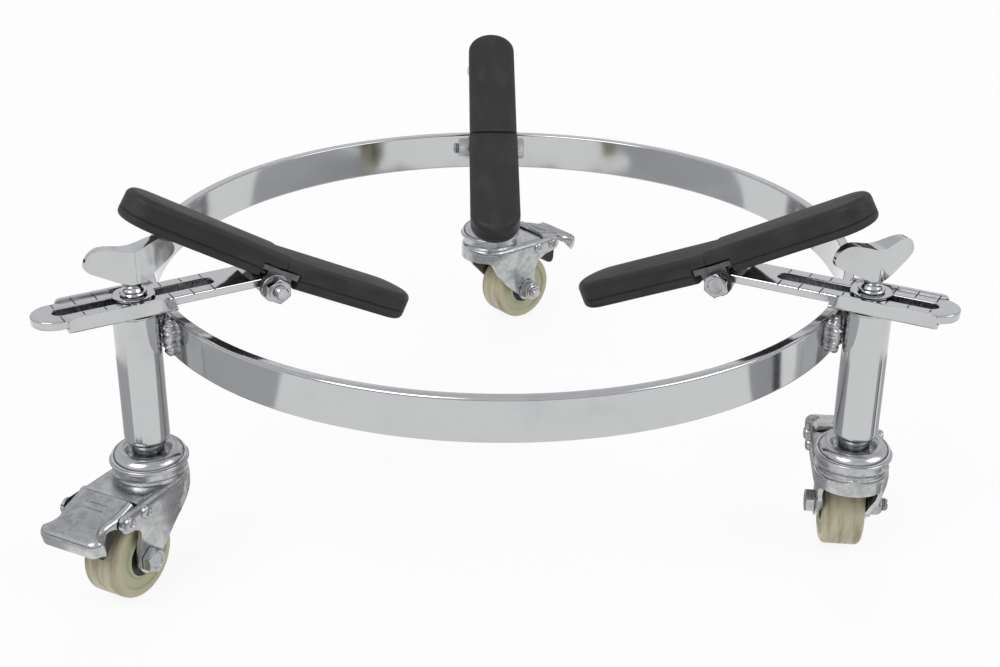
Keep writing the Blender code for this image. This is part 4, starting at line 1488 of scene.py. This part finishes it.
@dataclass
class Caster:
    """A swivel caster: stem and cup, pressed fork, nylon wheel and brake."""

    front_radius: float = 21.8
    sheet: float = 2.5
    fork_top: float = 66.5
    leg_top: float = 36.0
    corner: float = 5.0
    foot: float = 15.8
    brace_x: float = 31.5
    apron: float = 56.0
    wheel_round: float = 3.6
    dish: float = 1.8
    seat: float = 11.3
    pedal_sheet: float = 1.8
    pedal_above: float = 6.4
    pedal_reach: float = 27.5
    pedal_corner: float = 6.5
    pedal_neck: float = 18.7
    pedal_waist: float = 16.5
    pedal_lip: float = 21.0
    lip_drop: float = 9.2
    cup_low: float = 73.0
    cup_high: float = 80.6
    shoe_gap: float = 4.6
    shoe_depth: float = 19.0
    shoe_width: float = 18.0

    def stem(self) -> Shape:
        """Stem, collar, domed cup and king pin.

        Returns:
            The piece round the upright's axis.
        """
        low, high = self.cup_low, self.cup_high
        floor = high - 4.4
        collar = LEVELS.tube_bottom - GAP
        pin_top = self.fork_top - self.sheet - GAP
        profile = [(0, 106), (4.4, 106), (5.0, 105.4), (5.0, collar + 0.2), (8.6, collar),
                   (9.0, collar - 0.4), (9.0, floor + 0.6), (9.6, floor), (11.2, floor),
                   (11.5, floor + 0.3), (11.9, floor + 2.2), (12.7, high - 0.9), (13.9, high - 0.2),
                   (15.4, high), (17.0, high - 0.15), (18.6, high - 0.8), (19.9, high - 1.9),
                   (20.8, high - 3.2), (21.3, high - 4.5), (21.4, low + 2.5), (21.2, low + 2.2),
                   (21.9, low + 2.0), (22.3, low + 1.5), (22.3, low + 0.5), (21.9, low),
                   (5.0, low), (5.0, pin_top), (8.0, pin_top), (7.6, pin_top - 1.4),
                   (6.4, pin_top - 2.3), (0, pin_top - 2.6)]
        return Shape.turned(profile, 96)

    def fork_solid(self, inset: float) -> Shape:
        """The drawn body of the fork as a solid.

        Args:
            inset: how much smaller it is all round.

        Returns:
            The solid, X along the trail.
        """
        radius = self.front_radius
        foot = self.foot - inset
        top = self.fork_top - inset
        places = [-radius * math.cos(math.radians(a)) for a in (3, 8, 14, 22, 32, 44, 58, 74, 90)]
        sections = []
        for x in places + [26.0, 62.0]:
            half = radius if x >= 0 else math.sqrt(radius ** 2 - x ** 2)
            half = max(half - inset, 0.7)
            corner = min(self.corner - inset * 0.6, half * 0.8)
            low_half = min(foot, half * 0.97)
            right = [(low_half, -2.0), (low_half, self.leg_top - 2)]
            right += [(low_half + (half - low_half) * ease(s),
                       self.leg_top - 2 + (top - corner - self.leg_top + 2) * s)
                      for s in (0.2, 0.4, 0.6, 0.8)]
            right += arc((half - corner, top - corner), corner, 0, 90, 6)
            at = x * (1 - inset / radius) if x < 0 else x
            loop = [(at, -w, z) for w, z in right] + [(at, w, z) for w, z in reversed(right)]
            sections.append(loop)
        return Shape.lofted(sections)

    def fork_side(self) -> list[Point2]:
        """The fork from the side, from the apron round the axle to the ears.

        Returns:
            The outline.
        """
        trail = LEVELS.trail
        points = [(-30, 90), (-30, self.apron), (-15, self.apron), (-12.2, self.apron - 0.6),
                  (-10.2, 53.4), (-8.5, 50), (-3.5, 42), (4.0, 33.5), (10.5, 27.6)]
        points += arc((trail, LEVELS.wheel_radius), 8.6, 200, 350, 20)
        points += [(trail + 7.4, 36), (trail + 6.8, 42), (trail + 7.6, 46.5), (trail + 10.0, 49.8),
                   (trail + 14.5, 52.8)]
        points += arc((LEVELS.pin_x, LEVELS.pin_z), 6.2, -75, 70, 14)
        points += [(LEVELS.pin_x - 5, self.fork_top + 1), (LEVELS.pin_x - 9, 90)]
        return points

    def rivet(self, seat: float) -> Shape:
        """A rivet along Y with a domed head at each end.

        Args:
            seat: the distance at which the heads begin.

        Returns:
            The rivet.
        """
        reach = self.front_radius + GAP + 1.6
        half = [(0, reach - 1.3), (1.3, reach - 1.2), (1.7, reach - 0.3), (2.1, reach),
                (2.9, reach - 0.1), (3.6, reach - 0.6), (4.0, reach - 1.3), (4.0, seat),
                (2.5, seat)]
        return Shape.turned(mirrored(half), 40, axis="Y")

    def fork(self) -> Shape:
        """The fork with its race and both rivets.

        Returns:
            The fork, X along the trail.
        """
        shell = self.fork_solid(0.0).cut(self.fork_solid(self.sheet))
        shell = shell.common(Shape.slab(self.fork_side(), 80).upright())
        inside = self.front_radius - self.sheet
        room = Shape.block((LEVELS.pin_x - 10.5, -inside, 40), (LEVELS.pin_x + 20, inside, 90))
        axle = Shape.rod(4.2, -30, 30, 32, "Y")
        shell = shell.cut(room, axle.moved(shift(LEVELS.trail, 0, LEVELS.wheel_radius)))
        shell = shell.softened(0.55, 2, 35.0)
        top = self.cup_low - GAP
        race = Shape.turned([(17.4, top), (19.0, top), (19.7, top - 0.4), (19.9, top - 1.2),
                             (20.0, self.fork_top + 3.2), (20.2, self.fork_top + 1.9),
                             (20.7, self.fork_top + 0.8), (21.3, self.fork_top - 0.1),
                             (21.3, self.fork_top - 0.5), (15.0, self.fork_top - 0.5),
                             (15.0, top - 1.0)], 80, closed=True)
        rivets = [self.rivet(inside + 0.6).moved(shift(x, 0, LEVELS.pin_z))
                  for x in (LEVELS.pin_x, self.brace_x)]
        return shell.joined(race, *rivets).cut(Shape.rod(5.2, 50, 85))

    def wheel(self) -> Shape:
        """The nylon wheel with dished sides and a raised bearing seat.

        Returns:
            The wheel along Y.
        """
        half = LEVELS.wheel_width / 2
        r = LEVELS.wheel_radius - 0.06
        rounding = self.wheel_round
        upper = [(self.seat, half - 0.3), (self.seat + 0.3, half), (self.seat + 1.2, half),
                 (self.seat + 1.7, half - 0.4), (self.seat + 2.2, half - self.dish),
                 (r - 6.6, half - self.dish), (r - 5.9, half - self.dish + 0.3),
                 (r - 5.3, half - 0.5)]
        upper += arc((r - rounding, half - rounding), rounding, 78, 0, 8)
        return Shape.turned(mirrored(upper), 120, closed=True, axis="Y")

    def bearing(self) -> Shape:
        """The bearing faces: outer ring, sunk shield and inner ring.

        Returns:
            The bearing sleeve along Y.
        """
        half = LEVELS.wheel_width / 2
        upper = [(4.3, half + 0.8), (6.2, half + 0.8), (6.5, half + 0.4), (6.6, half - 1.0),
                 (7.2, half - 1.1), (9.3, half - 1.1), (9.6, half - 0.8), (10.8, half - 0.8),
                 (11.0, half - 1.0)]
        return Shape.turned(mirrored(upper), 72, closed=True, axis="Y")

    def pedal_half(self, x: float) -> float:
        """Half the pedal's width.

        Args:
            x: the distance from its pin.

        Returns:
            The half width there.
        """
        waist = self.pedal_waist
        if x < 13:
            return self.pedal_neck + (waist - self.pedal_neck) * ease(max(x - 4, 0) / 9)
        share = min((x - 13) / (self.pedal_reach - 17), 1.0)
        return waist + (self.pedal_lip - waist) * ease(share)

    def pedal_outline(self, inset: float) -> list[Point2]:
        """The pedal from above.

        Args:
            inset: how much smaller it is all round.

        Returns:
            The outline.
        """
        corner = self.pedal_corner
        side = [(x, self.pedal_half(x) - inset) for x in (-16, -9, -4, 0, 4, 7, 10, 13, 16, 18.5)]
        side += reversed(arc((self.pedal_reach - corner, self.pedal_lip - corner), corner - inset,
                             0, 90, 8))
        return [(x, -y) for x, y in side] + [(x, y) for x, y in reversed(side)]

    def pedal(self) -> Shape:
        """The pressed tread: a tray with a rolled lip, cheeks at its pin and two dashes.

        Returns:
            The pedal about its pin.
        """
        sheet = self.pedal_sheet
        above = self.pedal_above
        depth = 16.0
        tray = Shape.slab(self.pedal_outline(0.0), 2 * depth, edge=4.2, rounds=7)
        room = Shape.slab(self.pedal_outline(sheet), 2 * depth, edge=2.5, rounds=5)
        tray = tray.moved(shift(z=above - depth)).cut(room.moved(shift(z=above - sheet - depth)))
        side = [(-9.0, above + 1), (-9.0, 2.2), (-5.4, -0.9)] + arc((0, 0), 5.5, 190, 350, 14)
        side += [(8.0, 1.4), (11.5, 2.6), (15.0, 1.4), (18.5, -1.6), (22.0, -4.6),
                 (24.0, above - self.lip_drop), (self.pedal_reach + 2, above - self.lip_drop),
                 (self.pedal_reach + 2, above + 1)]
        body = tray.common(Shape.slab(side, 60).upright())
        for x in (-1.2, 3.2):
            dash = arc((x, 6.5), 0.8, 0, 180, 6) + arc((x, -6.5), 0.8, 180, 360, 6)
            body = body.cut(Shape.slab(dash, 2.0).moved(shift(z=above + 0.45)))
        return body.cut(Shape.rod(2.7, -40, 40, 28, "Y")).softened(0.4, 2, 40.0)

    def shoe(self) -> Shape:
        """The block under the pedal, hollowed to the tread.

        Returns:
            The shoe about the pedal's pin.
        """
        wheel = turn("Y", -LEVELS.pedal_slope) @ Vector(
            (LEVELS.trail - LEVELS.pin_x, 0, LEVELS.wheel_radius - LEVELS.pin_z))
        radius = LEVELS.wheel_radius + self.shoe_gap
        low = -self.shoe_depth
        top = self.pedal_above - self.pedal_sheet - GAP
        clear = 2.5 + 2 * GAP
        start = math.degrees(math.acos((clear - wheel.x) / radius))
        end = math.degrees(math.asin((low - wheel.z) / radius))
        face = arc((wheel.x, wheel.z), radius, start, end, 14)
        outline = [(clear, top)] + face
        outline += [(face[-1][0] + 4.0, low), (face[-1][0] + 5.5, low + 3), (13.0, top)]
        return Shape.slab(outline, self.shoe_width).upright().softened(0.5, 2, 30.0)

    def build(self, shop: Workshop, finishes: Finishes) -> None:
        """Makes the casters of all three legs.

        Args:
            shop: where pieces are finished.
            finishes: the materials.
        """
        bolting = Bolting()
        grip = 2 * self.foot
        shop.on_legs(
            LegPiece("stem", "caster_stem", self.stem(), Leg.stud, finishes.cup, "frame",
                     "caster_steel", 40.0),
            LegPiece("pressed_fork", "caster_fork", self.fork(), Leg.swivel, finishes.caster,
                     "fork", "caster_steel", 35.0),
            LegPiece("nylon_wheel", "caster_wheel", self.wheel(), Leg.axle, finishes.wheel,
                     "wheel", "wheel_nylon"),
            LegPiece("bearing", "wheel_bearing", self.bearing(), Leg.axle, finishes.seal,
                     "wheel", "bearing_seal"),
            LegPiece("wheel_bolt", "axle_bolt", bolting.bolt(grip), Leg.axle, finishes.hardware,
                     "fork", "zinc_hardware"),
            LegPiece("wheel_nut", "axle_nut", bolting.nut_and_washer(grip, lock=True), Leg.axle,
                     finishes.hardware, "fork", "zinc_hardware"),
            LegPiece("pedal", "brake_pedal", self.pedal(), Leg.pedal, finishes.caster, "brake",
                     "caster_steel", 35.0),
            LegPiece("shoe", "brake_shoe", self.shoe(), Leg.pedal, finishes.shoe, "brake",
                     "shoe_plastic"))


@dataclass
class Studio:
    """The floor, the light and the camera."""

    azimuth: float = -1.814
    elevation: float = 24.931
    roll: float = 0.494
    distance: float = 1.0046
    lens: float = 57.15
    target: Point3 = (0.005955, -0.038973, 0.095663)
    lamps: Sequence[tuple] = field(default_factory=lambda: (
        ("key", (-1.3, -1.5, 2.1), 1.6, 30.0), ("fill", (1.9, -0.9, 1.5), 1.4, 14.0),
        ("back", (0.3, 1.9, 1.9), 1.6, 16.0)))
    tubes: Sequence[Point2] = ((-0.19659, -0.15518), (0.20610, -0.15518))
    zones: Sequence[tuple] = (
        (-180.0, -66.0, 0.50), (84.0, 100.0, 0.42), (100.0, 106.0, 0.06), (118.0, 180.0, 0.55))
    tent: Sequence[tuple] = (("horizon", ((2.4, 0.10), (2.4, 0.56)), 0.08),
                             ("canopy", ((2.4, 0.56), (2.4, 2.3), (1.4, 2.8), (0.0, 2.9)), 0.85))
    zone_reach: Point2 = (0.04, 0.30)
    zone_height: float = 0.0012
    floor_size: float = 6.0
    floor_glow: float = 0.88
    backdrop: Colour = (0.95, 0.96, 0.97, 1.0)
    dim: float = 0.55

    def camera(self) -> None:
        """Puts the camera where the photograph was taken from."""
        az, el, roll = (math.radians(a) for a in (self.azimuth, self.elevation, self.roll))
        back = Vector((math.sin(az) * math.cos(el), -math.cos(az) * math.cos(el), math.sin(el)))
        right = (-back).cross(Vector((0, 0, 1))).normalized()
        up = right.cross(-back)
        side = right * math.cos(roll) + up * math.sin(roll)
        over = -right * math.sin(roll) + up * math.cos(roll)
        data = bpy.data.cameras.new("camera")
        data.lens = self.lens
        data.sensor_width = 36.0
        data.sensor_fit = "HORIZONTAL"
        data.clip_start = 0.01
        place = Matrix((side, over, back)).transposed().to_4x4()
        place.translation = Vector(self.target) + back * self.distance
        thing = linked("camera", data)
        thing.matrix_world = place
        bpy.context.scene.camera = thing

    def light(self) -> None:
        """Three soft lamps."""
        middle = Vector(self.target)
        for name, place, size, power in self.lamps:
            data = bpy.data.lights.new(name, "AREA")
            data.shape = "SQUARE"
            data.size = size
            data.energy = power
            thing = linked(name, data)
            thing.location = place
            thing.rotation_euler = (Vector(place) - middle).to_track_quat("Z", "Y").to_euler()
            thing.visible_glossy = name != "back"

    def surround(self) -> None:
        """A pale surround that the camera and shiny surfaces see as white to light grey."""
        world = bpy.data.worlds.new("studio")
        bpy.context.scene.world = world
        world.use_nodes = True
        tree = world.node_tree
        background = tree.nodes["Background"]
        path = tree.nodes.new("ShaderNodeLightPath")
        seen = path.outputs["Is Camera Ray"]
        for kind in ("Is Glossy Ray", "Is Transmission Ray"):
            either = tree.nodes.new("ShaderNodeMath")
            either.operation = "MAXIMUM"
            tree.links.new(seen, either.inputs[0])
            tree.links.new(path.outputs[kind], either.inputs[1])
            seen = either.outputs[0]
        strength = tree.nodes.new("ShaderNodeMapRange")
        strength.inputs["To Min"].default_value = self.dim
        strength.inputs["To Max"].default_value = 1.0
        tree.links.new(seen, strength.inputs["Value"])
        background.inputs["Color"].default_value = self.backdrop
        tree.links.new(strength.outputs["Result"], background.inputs["Strength"])

    def floor(self) -> None:
        """A plain white floor that keeps the stand's shadow."""
        bm = bmesh.new()
        bmesh.ops.create_grid(bm, x_segments=1, y_segments=1, size=self.floor_size)
        g = Graph("floor")
        path = "ShaderNodeLightPath"
        seen = g.node(path, output="Is Camera Ray") + g.node(path, output="Is Glossy Ray")
        seen = seen + g.node(path, output="Is Transmission Ray")
        tone = g.mix(g.between(g.noise(3.0, 3.0), 0.3, 0.7), (0.90, 0.90, 0.90, 1.0),
                     (0.92, 0.92, 0.92, 1.0))
        g.finish(Base_Color=tone, Roughness=0.85, Metallic=0.0)
        glow = g.node("ShaderNodeEmission", {}, {"Color": (1.0, 1.0, 1.0, 1.0), "Strength": 1.0},
                      "Emission")
        share = g.node("ShaderNodeMath", {"operation": "MINIMUM"},
                       {0: seen, 1: 1.0}) * self.floor_glow
        blend = g.node("ShaderNodeMixShader", {},
                       {0: share, 1: Value(g, g.shader.outputs[0]), 2: glow})
        g.feed(blend, g.tree.nodes["Material Output"].inputs["Surface"])
        thing = linked("floor", meshed("floor", bm))
        thing.data.materials.append(g.material)
        thing.location = (0.0, 0.0, -0.0005)

    def reflection_only(self, name: str, mesh: bpy.types.Mesh, tone: float) -> None:
        """Adds a card that only shiny surfaces see.

        Args:
            name: the card's name.
            mesh: its shape, in place.
            tone: how pale it is.
        """
        g = Graph(name)
        colour = (tone, tone, tone * 1.03, 1.0)
        mesh.materials.append(g.finish(Base_Color=colour, Roughness=1.0, Metallic=0.0))
        thing = linked(name, mesh)
        for kind in ("camera", "diffuse", "shadow", "transmission", "volume_scatter"):
            setattr(thing, "visible_" + kind, False)

    def zone(self, centre: Point2, start: float, end: float) -> bpy.types.Mesh:
        """A flat sector just over the floor.

        Args:
            centre: the axis that it is about.
            start: its first angle in degrees.
            end: its last angle.

        Returns:
            The open mesh.
        """
        bm = bmesh.new()
        turned = math.radians(start)
        pair = [bm.verts.new((centre[0] + r * math.cos(turned), centre[1] + r * math.sin(turned),
                              self.zone_height)) for r in self.zone_reach]
        edge = bm.edges.new(pair)
        bmesh.ops.spin(bm, geom=pair + [edge], cent=(*centre, 0), axis=(0, 0, 1),
                       dvec=(0, 0, 0), angle=math.radians(end - start), steps=12)
        return meshed("zone", bm)

    def reflections(self) -> None:
        """Grey sectors on the floor and a grey tent far round, seen in the plating only."""
        back = Vector((math.sin(math.radians(self.azimuth)), -math.cos(math.radians(self.azimuth))))
        eye = Vector(self.target[:2]) + back * self.distance * math.cos(
            math.radians(self.elevation))
        for i, centre in enumerate(self.tubes):
            towards = eye - Vector(centre)
            heading = math.degrees(math.atan2(towards.y, towards.x))
            for k, (start, end, tone) in enumerate(self.zones):
                mesh = self.zone(centre, heading + start, heading + end)
                self.reflection_only(f"zone_{i}_{k}", mesh, tone)
        for name, profile, tone in self.tent:
            bm = bmesh.new()
            verts = [bm.verts.new((radius, 0.0, height)) for radius, height in profile]
            edges = [bm.edges.new(pair) for pair in zip(verts, verts[1:])]
            bmesh.ops.spin(bm, geom=verts + edges, cent=(0, 0, 0), axis=(0, 0, 1),
                           dvec=(0, 0, 0), angle=math.tau, steps=48, use_merge=True)
            self.reflection_only(name, meshed(name, bm), tone)

    def build(self) -> None:
        """Sets the studio up."""
        bpy.context.scene.view_settings.view_transform = "Standard"
        self.floor()
        self.reflections()
        self.surround()
        self.light()
        self.camera()


def main() -> None:
    """Builds and dresses the stand, piece by piece."""
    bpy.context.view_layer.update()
    finishes = Finishes()
    shop = Workshop()
    for part in (Hoop(), Upright(), Slider(), WingNut(), Arm(), Caster()):
        part.build(shop, finishes)
        log.info("%s is done", type(part).__name__)
    Studio().build()
    log.info("%d pieces in all", shop.count)


if __name__ == "__main__":
    main()
